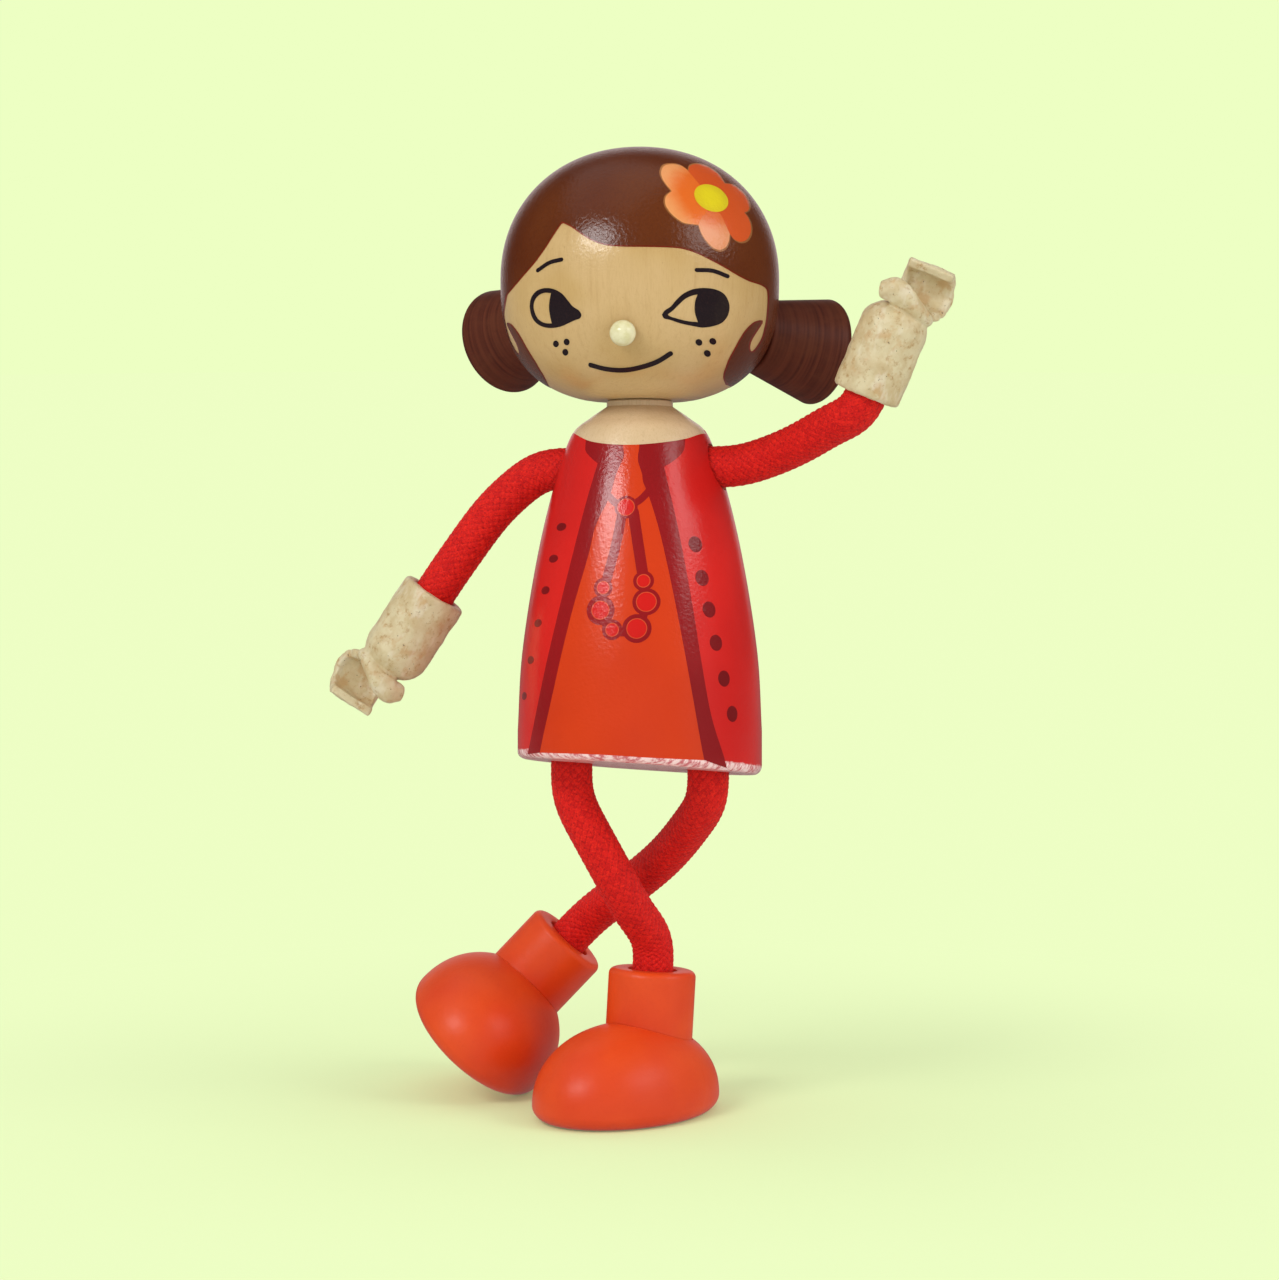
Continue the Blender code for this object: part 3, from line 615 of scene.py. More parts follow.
def petalPaint(name, place, centre, inner, outer, span):
    # sprayed from the flower's middle outwards
    material, tree, shader = newFinish(name)
    at = benchCoordinates(tree, place)
    away = node(tree, "ShaderNodeVectorMath", in0=at, in1=(centre.x, centre.y, centre.z))
    away.operation = "DISTANCE"
    soft = sums(tree, "MULTIPLY", noise(tree, at, 0.8, 2.0), 1.2)
    far = sums(tree, "ADD", away.outputs["Value"], soft)
    tint = blendTints(tree, ranged(tree, far, *span), inner, outer)
    tint = layTints(tree, at, tint, [(inner, 0.25, 0.55, 0.8, 3.5, 4.0, 0.65, None)])
    lacquer(tree, shader, tint, orangePeel(tree, at))
    return material


def creamPeg(place):
    return sprayed("creamPeg", place, "#e9e3bb", [
        ("#dbd4a0", 1.0, 0.35, 0.7, 0.9, 3.0, 0.5, None)], peel=(0.5, 0.002), gloss=0.05, under=0.35)


def mottledResin(place, name):
    material, tree, shader = newFinish(name)
    at = benchCoordinates(tree, place)
    tint = layTints(tree, at, "#d8c9a0", [
        ("#cbb588", 1.0, 0.35, 0.65, 0.35, 3.0, 0.6, None),
        ("#c79f6a", 0.65, 0.52, 0.68, 0.55, 4.0, 0.6, (1.0, 1.0, 0.8)),
        ("#e6dcc2", 0.5, 0.55, 0.7, 0.5, 2.0, 0.5, (1.2, 1.2, 0.5))])
    ochre = noise(tree, at, 0.95, 5.0, 0.68)
    tint = blendTints(tree, ranged(tree, ochre, 0.54, 0.72, 0.0, 0.75), tint, "#a87a3a")
    pits = noise(tree, at, 2.6, 2.0, 0.5)
    pitMask = ranged(tree, pits, 0.705, 0.735)
    tint = blendTints(tree, sums(tree, "MULTIPLY", pitMask, 0.8), tint, "#5c4428")
    grit = noise(tree, at, 3.5, 3.0, 0.6)
    skin = bumped(tree, grit, 0.03 * mm, 0.7)
    skin = bumped(tree, sums(tree, "SUBTRACT", 1.0, pitMask), 0.08 * mm, 0.8, skin)
    tree.links.new(tint, shader.inputs["Base Color"])
    tree.links.new(skin, shader.inputs["Normal"])
    rough = ranged(tree, ochre, 0.3, 0.7, 0.42, 0.58)
    tree.links.new(rough, shader.inputs["Roughness"])
    shader.inputs["Coat Weight"].default_value = 0.25
    shader.inputs["Coat Roughness"].default_value = 0.35
    return material


def braidedRedCord():
    material, tree, shader = newFinish("braidedRedCord")
    layout = tree.nodes.new("ShaderNodeUVMap")
    layout.uv_map = "braid"
    parts = node(tree, "ShaderNodeSeparateXYZ", Vector=layout.outputs[0])
    p = sums(tree, "ADD", parts.outputs[0], parts.outputs[1])
    q = sums(tree, "SUBTRACT", parts.outputs[0], parts.outputs[1])
    cell = node(tree, "ShaderNodeCombineXYZ", X=sums(tree, "FLOOR", p), Y=sums(tree, "FLOOR", q))
    chance = node(tree, "ShaderNodeTexWhiteNoise", Vector=cell.outputs[0])
    tint = blendTints(tree, ranged(tree, chance.outputs["Value"], 0.0, 1.0, 0.0, 1.0, False), "#cc1716",
                      "#e0201a")
    where = tree.nodes.new("ShaderNodeTexCoord")
    at = stretched(tree, where.outputs["Object"], 1 / mm, 1 / mm, 1 / mm)
    # painted highlights: bright orange-red flecks stand in for glints on the braid's pillows; the same
    # noise also gives darker specks at random
    glintsAndSpecks = noise(tree, at, 3.4, 4.0, 0.7)
    tint = blendTints(tree, ranged(tree, glintsAndSpecks, 0.53, 0.66, 0.0, 0.9), tint, "#f4301c")
    tint = blendTints(tree, ranged(tree, glintsAndSpecks, 0.47, 0.34, 0.0, 0.75), tint, "#9a1014")
    # painted shade: the red darkens towards #6a0e13 in the valleys between the strands, where the braid is
    # low
    high = tree.nodes.new("ShaderNodeAttribute")
    high.attribute_name = "braidHeight"
    tint = blendTints(tree, ranged(tree, high.outputs["Fac"], 0.5, 0.0, 0.0, 0.8), tint, "#6a0e13")
    fuzz = noise(tree, at, 7.0, 3.0, 0.7)
    tree.links.new(tint, shader.inputs["Base Color"])
    tree.links.new(bumped(tree, fuzz, 0.05 * mm, 0.8), shader.inputs["Normal"])
    shader.inputs["Roughness"].default_value = 0.62
    shader.inputs["Specular IOR Level"].default_value = 0.12
    shader.inputs["Sheen Weight"].default_value = 0.02
    return material


def soleFloorReflection(tree, at, tint):
    # painted reflection: the paint turns pale pink in ragged spots along the sole's edge and on the sole,
    # standing in for the pale floor mirrored there
    up = node(tree, "ShaderNodeSeparateXYZ", Vector=at).outputs[2]
    paintedReflection = sums(tree, "ADD", up, sums(tree, "MULTIPLY", noise(tree, at, 0.7, 4.0, 0.65), 1.2))
    return blendTints(tree, ranged(tree, paintedReflection, 0.85, 0.35, 0.0, 0.6), tint, "#e9a58c")


def shoeLacquer(place, name):
    # orange lacquer, with a painted reflection of the pale floor along the sole's edge
    return sprayed(name, place, "#e64e16", [
        ("#de4112", 1.0, 0.3, 0.7, 0.08, 2.0, 0.5, None),
        ("#d63a12", 0.3, 0.5, 0.8, 2.0, 4.0, 0.6, (1.0, 0.25, 1.0))],
        peel=(0.9, 0.010), paintedReflection=soleFloorReflection, gloss=0.38, coat=0.6)


def plainDowelWood():
    material, tree, shader = newFinish("plainDowelWood")
    where = tree.nodes.new("ShaderNodeTexCoord")
    at = stretched(tree, where.outputs["Object"], 1 / mm, 1 / mm, 0.12 / mm)
    grain = noise(tree, at, 2.0, 4.0, 0.6)
    tint = blendTints(tree, ranged(tree, grain, 0.35, 0.7), "#d5b583", "#b48d58")
    tree.links.new(tint, shader.inputs["Base Color"])
    tree.links.new(bumped(tree, grain, 0.03 * mm, 0.6), shader.inputs["Normal"])
    shader.inputs["Roughness"].default_value = 0.65
    return material


# Head
headSizes = {"radius": 21.0, "crown": 20.05, "chin": 18.7, "crownPower": 2.13, "chinPower": 2.62,
             "seatRadius": 7.93, "dowelHole": 2.3, "holeDepth": 8.3, "hairLift": 0.07, "edgeLift": 0.045,
             "edgeWidth": 0.2, "inkLift": 0.05, "seatEdge": 0.25, "seatRise": 0.06}
headPaint = {"place": headPlace, "body": "head", "slot": "maple"}
hairTrace = {
    "lock": [(727.7, 383.6), (725.4, 380.2), (725.1, 375.1), (727.1, 368.3), (730.2, 359.8), (734.0, 352.7),
             (737.9, 345.5), (741.9, 338.2), (746, 332), (750.6, 326.9), (755.7, 323), (761.8, 321.3)],
    "ear": [(761.8, 321.3), (758.8, 326.1), (755.2, 331.7), (751.6, 337.6), (749.2, 343.2), (748.8, 348.6),
            (750.4, 352.3), (753.4, 352.7), (756.4, 350.2), (760, 345.3), (763.6, 338.7), (765.8, 331.4),
            (768, 320.5), (769.2, 308)],
    "fringe": [(769.2, 308), (769.4, 295.3), (767.8, 288.8), (762.7, 284.7), (749.4, 280), (738.2, 274.3),
               (724.9, 266.3), (710.6, 258.6), (696.3, 251.8), (681, 247.3), (653.5, 245.7), (622.9, 245.3),
               (606.5, 243.9), (594.3, 240.2), (582, 233.1), (571.8, 225.9), (562, 221.2)],
    "parting": [(562, 221.2), (554.5, 232), (547.3, 243.3), (541.2, 252.4), (533.5, 262.7), (523.9, 273.9),
                (512.7, 287.1), (505.5, 296.3)],
}
faceTrace = {
    "strokes": {
        "leftBrow": (4.0, [(537.8, 270.4), (549.4, 262.7), (561.4, 259.5)]),
        "rightBrow": (4.0, [(696.9, 270), (712.7, 270.8), (727.5, 276.2)]),
        "mouth": (4.3, [(590.4, 365.1), (606.5, 369.2), (624.9, 370.2), (643.3, 366.7), (657.6, 361.6),
                        (670.8, 353.5)]),
    },
    "leftEye": [(529.6, 306.5), (531, 298.4), (535.1, 292.2), (541.2, 288.8), (549.4, 288.2),
                (556.5, 290.2),
                (562.7, 294.3), (567.8, 300.4), (572.9, 306.5), (579, 310.6), (581.4, 314.7), (580, 318.2),
                (574.9, 320.2), (567.8, 323.5), (561.6, 326.3), (552.4, 328), (543.3, 327), (536.1, 322.9),
                (531.4, 315.7)],
    "leftWhite": [[(551, 293.1), (544.3, 292.9), (538.2, 295.7), (534.7, 300.4), (533.5, 306.5),
                   (535.1, 313.7),
                   (538.8, 319.6), (545.3, 323.1), (551.8, 323.5)],
                  [(551.8, 323.5), (550, 315.7), (549, 307.5), (549.6, 300.4), (551, 293.1)]],
    "rightEye": [(662, 314.7), (664.7, 310.6), (670.8, 306.5), (676.9, 299.4), (684.1, 293.3),
                 (693.3, 289.2),
                 (703.5, 288), (714.7, 289.2), (723.9, 293.7), (728.6, 301.4), (729.6, 308.6),
                 (727.3, 316.7),
                 (721.8, 322.9), (712.7, 326.3), (702.4, 327.6), (692.2, 325.9), (681, 323.5),
                 (669.8, 319.8),
                 (663.7, 318.2)],
    "rightWhite": [[(697.6, 294.5), (693.3, 295.3), (686.1, 298.4), (679, 304.5), (672.9, 310.6),
                    (667.8, 314.3)],
                   [(667.8, 314.3), (669.8, 316.1), (678, 318.8), (688.2, 321.2), (698, 322.2)],
                   [(698, 322.2), (695.7, 315.7), (694.7, 308.6), (695.3, 301.4), (697.6, 294.5)]],
    "freckles": [(555.9, 343.9), (566.6, 342), (565.3, 352.3), (699, 342.4), (712.9, 341.4),
                 (707.4, 353.5)],
    "freckleRadius": 3.1,
}
flowerTrace = {
    "outline": [
        [(671.8, 191.2), (666.7, 185.1), (662.7, 179), (661.2, 171.8), (664.7, 165.7), (672.9, 164.3),
         (681, 165.7), (688.6, 170.8)],
        [(688.6, 170.8), (689.8, 166.3), (696.3, 164.3), (704.5, 165.7), (712.7, 169.8), (719.8, 175.9),
         (724.9, 183.5)],
        [(724.9, 183.5), (732, 184.7), (740.2, 190.2), (746.3, 197.3), (749.4, 205.5), (748.4, 210.6),
         (744.7, 212.7)],
        [(744.7, 212.7), (748.4, 217.8), (751, 225.9), (750.4, 234.1), (746.3, 240.2), (740.2, 241.8),
         (734.1, 239.2), (730, 234.1)],
        [(730, 234.1), (729, 241.2), (725.9, 247.3), (719.8, 250), (712.7, 247.3), (706.5, 241.2),
         (701.4, 233.1),
         (698.4, 224.9)],
        [(698.4, 224.9), (692.2, 224.3), (684.1, 222.9), (675.9, 217.8), (668.8, 210.6), (665.3, 203.5),
         (666.1, 196.3), (671.8, 191.2)],
    ],
    "middle": (711.2, 198), "middleSize": (17.0, 12.5), "middleTurn": -38,
    "joins": {"goldInner": [(711.2, 198), (707, 214), (704, 219)],
              "peachTop": [(698.4, 224.9), (703, 216), (711, 211), (719, 213), (724, 220)]},
}
flowerEdge = {"lift": 0.085, "growth": 1.035, "tints": ("#b9743c", "#8f5a30")}
flowerPaint = {
    # film: its paint, outline, lift, inner and outer tint, and where the tint turns, from the middle
    "flowerRedPetals": ("redPetals", "whole", 0.10, "#ce4f18", "#d4541e", (2.0, 9.0)),
    "flowerGoldPetals": ("goldPetals", "gold", 0.105, "#e0681c", "#e89a5c", (5.2, 8.6)),
    "flowerPeachPetal": ("peachPetal", "peach", 0.11, "#d9682c", "#e08f5e", (4.0, 7.0)),
    "flowerMiddle": ("yellowMiddle", "oval", 0.13, "#dfcb16", "#d6be18", (1.5, 3.5)),
}


def makeHead():
    s = headSizes
    crown = quarterOval(s["radius"], s["crown"], s["crownPower"], 0.0, 36)
    chin = quarterOval(s["radius"], s["chin"], s["chinPower"], s["seatRadius"], 36)
    seat = -chin[-1][1]
    outside = [(s["seatRadius"] - s["seatEdge"], seat), (s["seatRadius"], seat + s["seatRise"])]
    outside += [(r, -drop) for r, drop in reversed(chin[:-1])] + crown[1:-1] + [(0.0, s["crown"])]
    bore = [(0.0, seat + s["holeDepth"]), (s["dowelHole"], seat + s["holeDepth"]), (s["dowelHole"], seat)]
    ball = turnOnLathe("headBall", bore + outside, fineSides)
    blank = turnOnLathe("headBlank", [(0.0, seat)] + outside, fineSides)
    return ball, blank


def mirrored(spots):
    return [Vector((-spot.x, spot.y)) for spot in reversed(spots)]


def faceWindow(blank, inset):
    # the bare face between fringe, ears and locks, drawn in by the inset and open below
    s = {name: traceOn(blank, headPlace, pixels) for name, pixels in hairTrace.items()}
    lockFoot = s["lock"][0]
    right = smoothThrough(s["lock"], 5)[:-1] + smoothThrough(s["ear"], 5)[:-1]
    top = smoothThrough(s["fringe"], 5)[:-1] + smoothThrough(s["parting"], 5)
    left = mirrored(right)
    edge = widened(right + top + left, inset)
    return [Vector((edge[0].x, -24))] + edge + [Vector((edge[-1].x, -24))], lockFoot.y


def flowerShapes(blank):
    t = flowerTrace

    def drawn(pixels):
        return smoothThrough(traceOn(blank, headPlace, pixels), 5)[:-1]

    upperLeft, upper, right, lowerRight, bottom, left = [drawn(lobe) for lobe in t["outline"]]
    joins = {name: drawn(line) for name, line in t["joins"].items()}
    middle = traceOn(blank, headPlace, [t["middle"]])[0]
    wide, tall = [size * mmPerPixel for size in t["middleSize"]]
    tilt = math.radians(t["middleTurn"])
    oval = []
    for k in range(40):
        a, b = wide * math.cos(math.tau * k / 40), tall * math.sin(math.tau * k / 40)
        oval.append(middle + Vector((a * math.cos(tilt) - b * math.sin(tilt),
                                     a * math.sin(tilt) + b * math.cos(tilt))))
    return {"whole": upperLeft + upper + right + lowerRight + bottom + left,
            "gold": left + upperLeft + joins["goldInner"], "peach": bottom + joins["peachTop"],
            "oval": oval, "middle": middle}


def paintHair(blank):
    s = headSizes
    for name, lift, inset, finish in (
            ("hairPaintFilm", s["hairLift"], 0.0, brownHairPaint(headPlace)),
            ("hairRedEdge", s["edgeLift"], -s["edgeWidth"],
             clothPaint("hairEdgeInk", headPlace, "#8a2a10", "#72200c"))):
        window, lockLevel = faceWindow(blank, inset)
        opening = stencil(name + "Window", [window])
        below = drillBit((0, 0, -30), (0, 0, lockLevel + inset), 30)
        film = paintFilm(name, blank, [("DIFFERENCE", opening), ("DIFFERENCE", below)], lift)
        settle(film, finish=finish, **headPaint)
        binCutters(opening, below)
    print("hair is painted")


def paintFace(blank):
    ink = []
    for width, pixels in faceTrace["strokes"].values():
        line = smoothThrough(traceOn(blank, headPlace, pixels), 8)
        ink.append([aroundLine(line, width * mmPerPixel)])
    for eye, white in (("leftEye", "leftWhite"), ("rightEye", "rightWhite")):
        outer = traceOn(blank, headPlace, faceTrace[eye])
        outer = smoothThrough(outer + outer[:1], 5)[:-1]
        inner = []
        for part in faceTrace[white]:
            inner += smoothThrough(traceOn(blank, headPlace, part), 5)[:-1]
        ink.append([outer, inner])
    for spot in traceOn(blank, headPlace, faceTrace["freckles"]):
        ink.append([disc(spot, faceTrace["freckleRadius"] * mmPerPixel, 24)])
    printOn("faceLines", blank, ink, headSizes["inkLift"], inkBlack(headPlace), headPaint)
    print("face is painted")


def paintFlower(blank):
    flower = flowerShapes(blank)
    middle = flower["middle"]
    centre = onFront(blank, middle)
    wider = [middle + (spot - middle) * flowerEdge["growth"] for spot in flower["whole"]]
    edgeInk = clothPaint("flowerEdgeInk", headPlace, *flowerEdge["tints"])
    printOn("flowerEdge", blank, [[wider]], flowerEdge["lift"], edgeInk, headPaint)
    for name, (paint, outline, lift, *tints) in flowerPaint.items():
        finish = petalPaint(paint, headPlace, centre, *tints)
        printOn(name, blank, [[flower[outline]]], lift, finish, headPaint)


headBall, headBlank = makeHead()
paintHair(headBlank)
paintFace(headBlank)
paintFlower(headBlank)
settle(headBall, headPlace, lacqueredMaple(headPlace), "head", ["head"], "maple")
print("head is done")


# Nose and bunches
bunches = {
    # side, seat from the axis, drop, droop and backward turn
    "left": (1, 20.02, 7.5, 10.0, 37.5),
    "right": (-1, 20.73, 4.5, 13.5, 43.0),
}
bunchSizes = {"base": 5.6, "end": 8.25, "length": 13.0, "endRound": 1.2, "baseRound": 0.5, "gap": 0.3,
              "dowelHole": 1.8, "holeDepth": 5.3, "topRing": 4.0}
noseSizes = {"radius": 1.95, "rise": 1.0, "drop": 9.15, "lean": 110, "pin": 1.0, "pinLength": 3.0,
             "pinEdge": 0.15}


def faceRadius(drop):
    chin, power = headSizes["chin"], headSizes["chinPower"]
    return headSizes["radius"] * (1 - (drop / chin) ** power) ** (1 / power)


def makeNose():
    s = noseSizes
    local = shift(0, -faceRadius(s["drop"]), -s["drop"]) @ turn(s["lean"], 0, 0)
    cap = roundCorner(0.0, s["rise"], s["radius"], -15.0, 90.0, 20)
    profile = [(0.0, -s["pinLength"]), (s["pin"] - s["pinEdge"], -s["pinLength"]),
               (s["pin"], s["pinEdge"] - s["pinLength"]), (s["pin"], cap[0][1])]
    profile += cap[:-1] + [(0.0, s["rise"] + s["radius"])]
    peg = turnOnLathe("nosePeg", profile, 56)
    settle(peg, headPlace @ local, creamPeg(headPlace @ local), "head", ["nose_peg"], "cream_resin")


def makeBunch(name, side, out, drop, droop, back):
    s = bunchSizes
    seat = (Matrix.Rotation(math.radians(side * back), 4, "Z") @ shift(side * out, 0, -drop)
            @ Matrix.Rotation(math.radians(side * (90 + droop)), 4, "Y"))
    place = headPlace @ seat @ shift(0, 0, s["gap"])
    profile = [(0.0, s["holeDepth"]), (s["dowelHole"], s["holeDepth"]), (s["dowelHole"], 0.0)]
    profile += roundCorner(s["base"] - s["baseRound"], s["baseRound"], s["baseRound"], -90.0, -5.0, 5)
    straight = s["length"] - s["endRound"] - s["baseRound"]
    slope = (s["end"] - s["base"]) / straight
    for k in range(1, 8):
        height = s["baseRound"] + straight * k / 8
        profile.append((s["base"] + slope * (height - s["baseRound"]), height))
    profile += roundCorner(s["end"] - s["endRound"], s["length"] - s["endRound"], s["endRound"], 0.0, 90.0,
                           8)
    profile += [(s["topRing"], s["length"]), (0.0, s["length"])]
    bunch = turnOnLathe(name + "HairBunch", profile, 96)
    settle(bunch, place, satinBunchPaint(place, name + "BunchPaint"), "head", [name + "_hair_bunch"],
           "dark_wood")


makeNose()
for name, seatedAt in bunches.items():
    makeBunch(name, *seatedAt)
print("nose and bunches are done")


# Torso
torsoSizes = {
    "outline": [(5.0, 54.2), (7.6, 52.4), (9.9, 50.5), (12.2, 44.6), (15.05, 33.5), (17.75, 16.8),
                (18.4, 5.3)],
    "neckTop": 55.1, "neckChamfer": 0.2, "dowelHole": 2.3, "dowelDepth": 8.5,
    "baseRound": 1.2, "baseSlope": 3.5, "baseBackSlope": 2.7, "baseDrop": 0.15, "baseHeight": 5.3,
    "baseRings": (4.2, 3.1, 2.0), "underRings": (15.0, 12.0, 9.0, 6.0, 3.0, 0.0),
    "cordHole": 3.6, "armMouth": 12.044, "armHeight": 45.0, "armDepth": 6.5, "hipSpread": 10.5,
    "hipDepth": 8.0,
    "dotRadius": 1.2, "leftDotHeight": 0.5,
    "patchHalf": 8, "patchLow": 16, "patchHigh": 44, "beadEdge": 0.8,
    # how far each film stands off the wood, and each of its turns off the one before
    "lifts": {"redJacket": 0.035, "orangeDress": 0.05, "jacketTrim": 0.065, "jacketDots": 0.055,
              "necklaceStrands": 0.08, "necklaceRings": 0.09, "beadEdges": 0.10, "necklaceBeads": 0.115},
    "turnLift": 0.002,
}
torsoPaint = {"place": torsoPlace, "body": "torso", "slot": "painted_body"}
clothTrace = {
    "neckline": [(566, 430.5), (574.6, 433.6), (589.6, 441), (611.9, 444.3), (631.8, 444.8), (659.2, 442.8),
                 (686.6, 438.6), (707.7, 433.1), (716, 430)],
    "leftLapel": [(585.8, 425), (585.8, 441), (585.8, 451), (592, 458.5), (597.8, 463.4)],
    "leftBandOuter": [(597.8, 463.4), (587.1, 499.5), (569.7, 566.7), (549.8, 648.8), (528.6, 750.2),
                      (527.6, 755)],
    "leftBandInner": [(539.8, 752.7), (553.5, 689.8), (572.1, 611.4), (588.3, 555.5), (594.5, 529.4),
                      (599.5, 516.9),
                      (609.5, 497), (613.2, 484.6), (616.9, 472.1), (623.9, 456), (623.1, 446), (622, 430)],
    "rightBandInner": [(640.5, 430), (639.3, 447.3), (638.1, 459.7), (642.3, 474.6), (643, 480.8),
                       (649.3, 497),
                       (659.2, 529.4), (671.6, 584.1), (686.6, 661.2), (704, 758.2), (704.5, 760.2)],
    "rightBandOuter": [(727, 768), (725.9, 763.2), (711.4, 715.9), (702.7, 668.7), (691.5, 599),
                       (677.9, 526.9),
                       (664.2, 466.7)],
    "rightLapel": [(664.2, 466.7), (671.6, 462.2), (682.8, 452.2), (685.3, 439.8), (686, 425)],
    "dressHem": [(704.5, 760.2), (649.3, 757.7), (595.8, 754.5), (539.8, 752.7)],
    "rightDots": [(695.3, 544.3), (702, 577.9), (709, 609.5), (715.9, 642.8), (723.9, 678.6),
                  (732.1, 713.9)],
    "leftDots": [(561.4, 526.9), (553.5, 558.7), (545.5, 590.3), (538.1, 623.1), (530.8, 660),
                 (524.4, 696)],
    "strands": [(7.0, [(607, 494), (616, 503), (626.4, 507.7)]),
                (7.0, [(650, 490), (640, 500), (626.4, 507.7)]),
                (9.7, [(622.5, 512), (616, 545), (606, 582)]), (10.5, [(633.5, 512), (638, 543), (643.5,
                                                                                                  578)]),
                (8.0, [(604, 588), (600, 610), (612.4, 630), (636.8, 629), (645.5, 601.5), (643.5, 581)])],
    "beads": [((626.1, 507.2), 7.8, 11.2), ((603.2, 587.8), 5.8, 9.5), ((600.5, 610.2), 8.5, 14.3),
              ((612.2, 629.8), 6.0, 10.0), ((636.8, 628.5), 9.2, 14.0), ((646.4, 601.8), 9.0, 13.2),
              ((643.6, 580.9), 5.8, 9.8)],
}


def tiltBase(piece):
    # the base is cut at a slight angle
    slope = math.tan(math.radians(torsoSizes["baseSlope"]))
    back = math.tan(math.radians(torsoSizes["baseBackSlope"]))
    for vertex in piece.data.vertices:
        fade = max(0.0, 1.0 - vertex.co.z / torsoSizes["baseHeight"])
        if vertex.co.length > 3.0 or vertex.co.z < 3:
            vertex.co.z -= (slope * vertex.co.x + back * vertex.co.y + torsoSizes["baseDrop"]) * fade


def drillCordHoles(piece):
    s = torsoSizes
    for side in (1, -1):
        arm, hip = side * (s["armMouth"] - s["armDepth"]), side * s["hipSpread"]
        drill(piece, (arm, 0, s["armHeight"]), (side * 20, 0, s["armHeight"]), s["cordHole"])
        drill(piece, (hip, 0, s["hipDepth"]), (hip, 0, -4), s["cordHole"])


def makeTorso():
    s = torsoSizes
    neck, widest, chamfer = s["outline"][0][0], s["outline"][-1][0], s["neckChamfer"]
    outside = [(neck - chamfer, s["neckTop"]), (neck, s["neckTop"] - chamfer)]
    outside += [(spot.x, spot.y) for spot in smoothThrough([Vector(p) for p in s["outline"]], 9)]
    outside += [(widest, height) for height in s["baseRings"]]
    outside += roundCorner(widest - s["baseRound"], s["baseRound"], s["baseRound"], 0.0, -90.0, 6)
    outside += [(radius, 0.0) for radius in s["underRings"]]
    blank = turnOnLathe("torsoBlank", [(0.0, s["neckTop"])] + outside, fineSides)
    tiltBase(blank)
    depth = s["neckTop"] - s["dowelDepth"]
    bore = [(0.0, depth), (s["dowelHole"], depth), (s["dowelHole"], s["neckTop"])]
    body = turnOnLathe("torsoBody", bore + outside, fineSides)
    tiltBase(body)
    drillCordHoles(body)
    return body, blank


def clothOutlines(blank):
    def drawn(*names):
        made = []
        for name in names:
            made += smoothThrough(traceOn(blank, torsoPlace, clothTrace[name]), 6)[:-1]
        return made

    bands = [drawn("leftLapel", "leftBandOuter", "leftBandInner"),
             drawn("rightBandInner", "rightBandOuter", "rightLapel")]
    dress = drawn("leftBandInner", "rightBandInner", "dressHem")
    return bands, dress, smoothThrough(traceOn(blank, torsoPlace, clothTrace["neckline"]), 8)


def paintClothes(blank, darkRed):
    lifts = torsoSizes["lifts"]
    bands, dress, neckline = clothOutlines(blank)
    left, right = Vector((-30, neckline[0].y)), Vector((30, neckline[-1].y))
    above = [right, Vector((30, 70)), Vector((-30, 70)), left]
    frontNeck = stencil("frontNeck", [neckline + above])
    backNeck = stencil("backNeck", [[left] + above[:3]], depth=0.01, behind=30)
    trims = [("DIFFERENCE", frontNeck), ("DIFFERENCE", backNeck)]
    jacket = paintFilm("redJacket", blank, trims, lifts["redJacket"])
    drillCordHoles(jacket)
    # the jacket's lower edge and underside carry a painted reflection of the pale floor
    red = clothPaint("jacketRed", torsoPlace, "#dc2019", "#cc1b17", gloss=0.2, paintedReflection=baseFloorReflection)
    settle(jacket, finish=red, **torsoPaint)
    orange = clothPaint("dressOrange", torsoPlace, "#d83d0d", "#d0380e")
    printOn("orangeDress", blank, [[dress]], lifts["orangeDress"], orange, torsoPaint, trims[:1])
    printOn("jacketTrim", blank, [[band] for band in bands], lifts["jacketTrim"], darkRed, torsoPaint,
            trims[:1])
    binCutters(frontNeck, backNeck)
    print("jacket, dress and trim are painted")


def frontPatch(blank):
    # a piece of the front's skin, big enough for the necklace
    half, low, high = [torsoSizes[key] for key in ("patchHalf", "patchLow", "patchHigh")]
    patch = copyOf(blank, "necklacePatch")
    pick(patch)
    bpy.ops.object.mode_set(mode="EDIT")
    for point, normal in (((-half, 0, 0), (-1, 0, 0)), ((half, 0, 0), (1, 0, 0)), ((0, 0, low), (0, 0, -1)),
                          ((0, 0, high), (0, 0, 1)), ((0, -1, 0), (0, 1, 0))):
        bpy.ops.mesh.select_all(action="SELECT")
        bpy.ops.mesh.bisect(plane_co=point, plane_no=normal, clear_outer=True, use_fill=False)
    bpy.ops.object.mode_set(mode="OBJECT")
    return patch


def paintNecklace(blank, darkRed):
    s, beads = torsoSizes, clothTrace["beads"]
    patch = frontPatch(blank)
    strands = [aroundLine(smoothThrough(traceOn(blank, torsoPlace, pixels), 8), width * mmPerPixel)
               for width, pixels in clothTrace["strands"]]
    centres = traceOn(blank, torsoPlace, [bead[0] for bead in beads])
    rings, edges, insides = [
        [disc(centre, (bead[k] + more) * mmPerPixel) for centre, bead in zip(centres, beads)]
        for k, more in ((2, 0), (1, s["beadEdge"]), (1, 0))]
    for name, outlines, finish in (
            ("necklaceStrands", strands, darkRed), ("necklaceRings", rings, darkRed),
            ("beadEdges", edges, clothPaint("beadEdgeOrange", torsoPlace, "#e0552e", "#cc4020")),
            ("necklaceBeads", insides, clothPaint("beadRed", torsoPlace, "#d81812", "#cc1610"))):
        # neighbours that would overlap go on in turn, each a touch higher
        turns = len(outlines) if outlines is strands else 3
        for k in range(turns):
            printOn(f"{name}{k + 1}", patch, [[outline] for outline in outlines[k::turns]],
                    s["lifts"][name] + s["turnLift"] * k, finish, torsoPaint)
    binCutters(patch)
    print("necklace is painted")


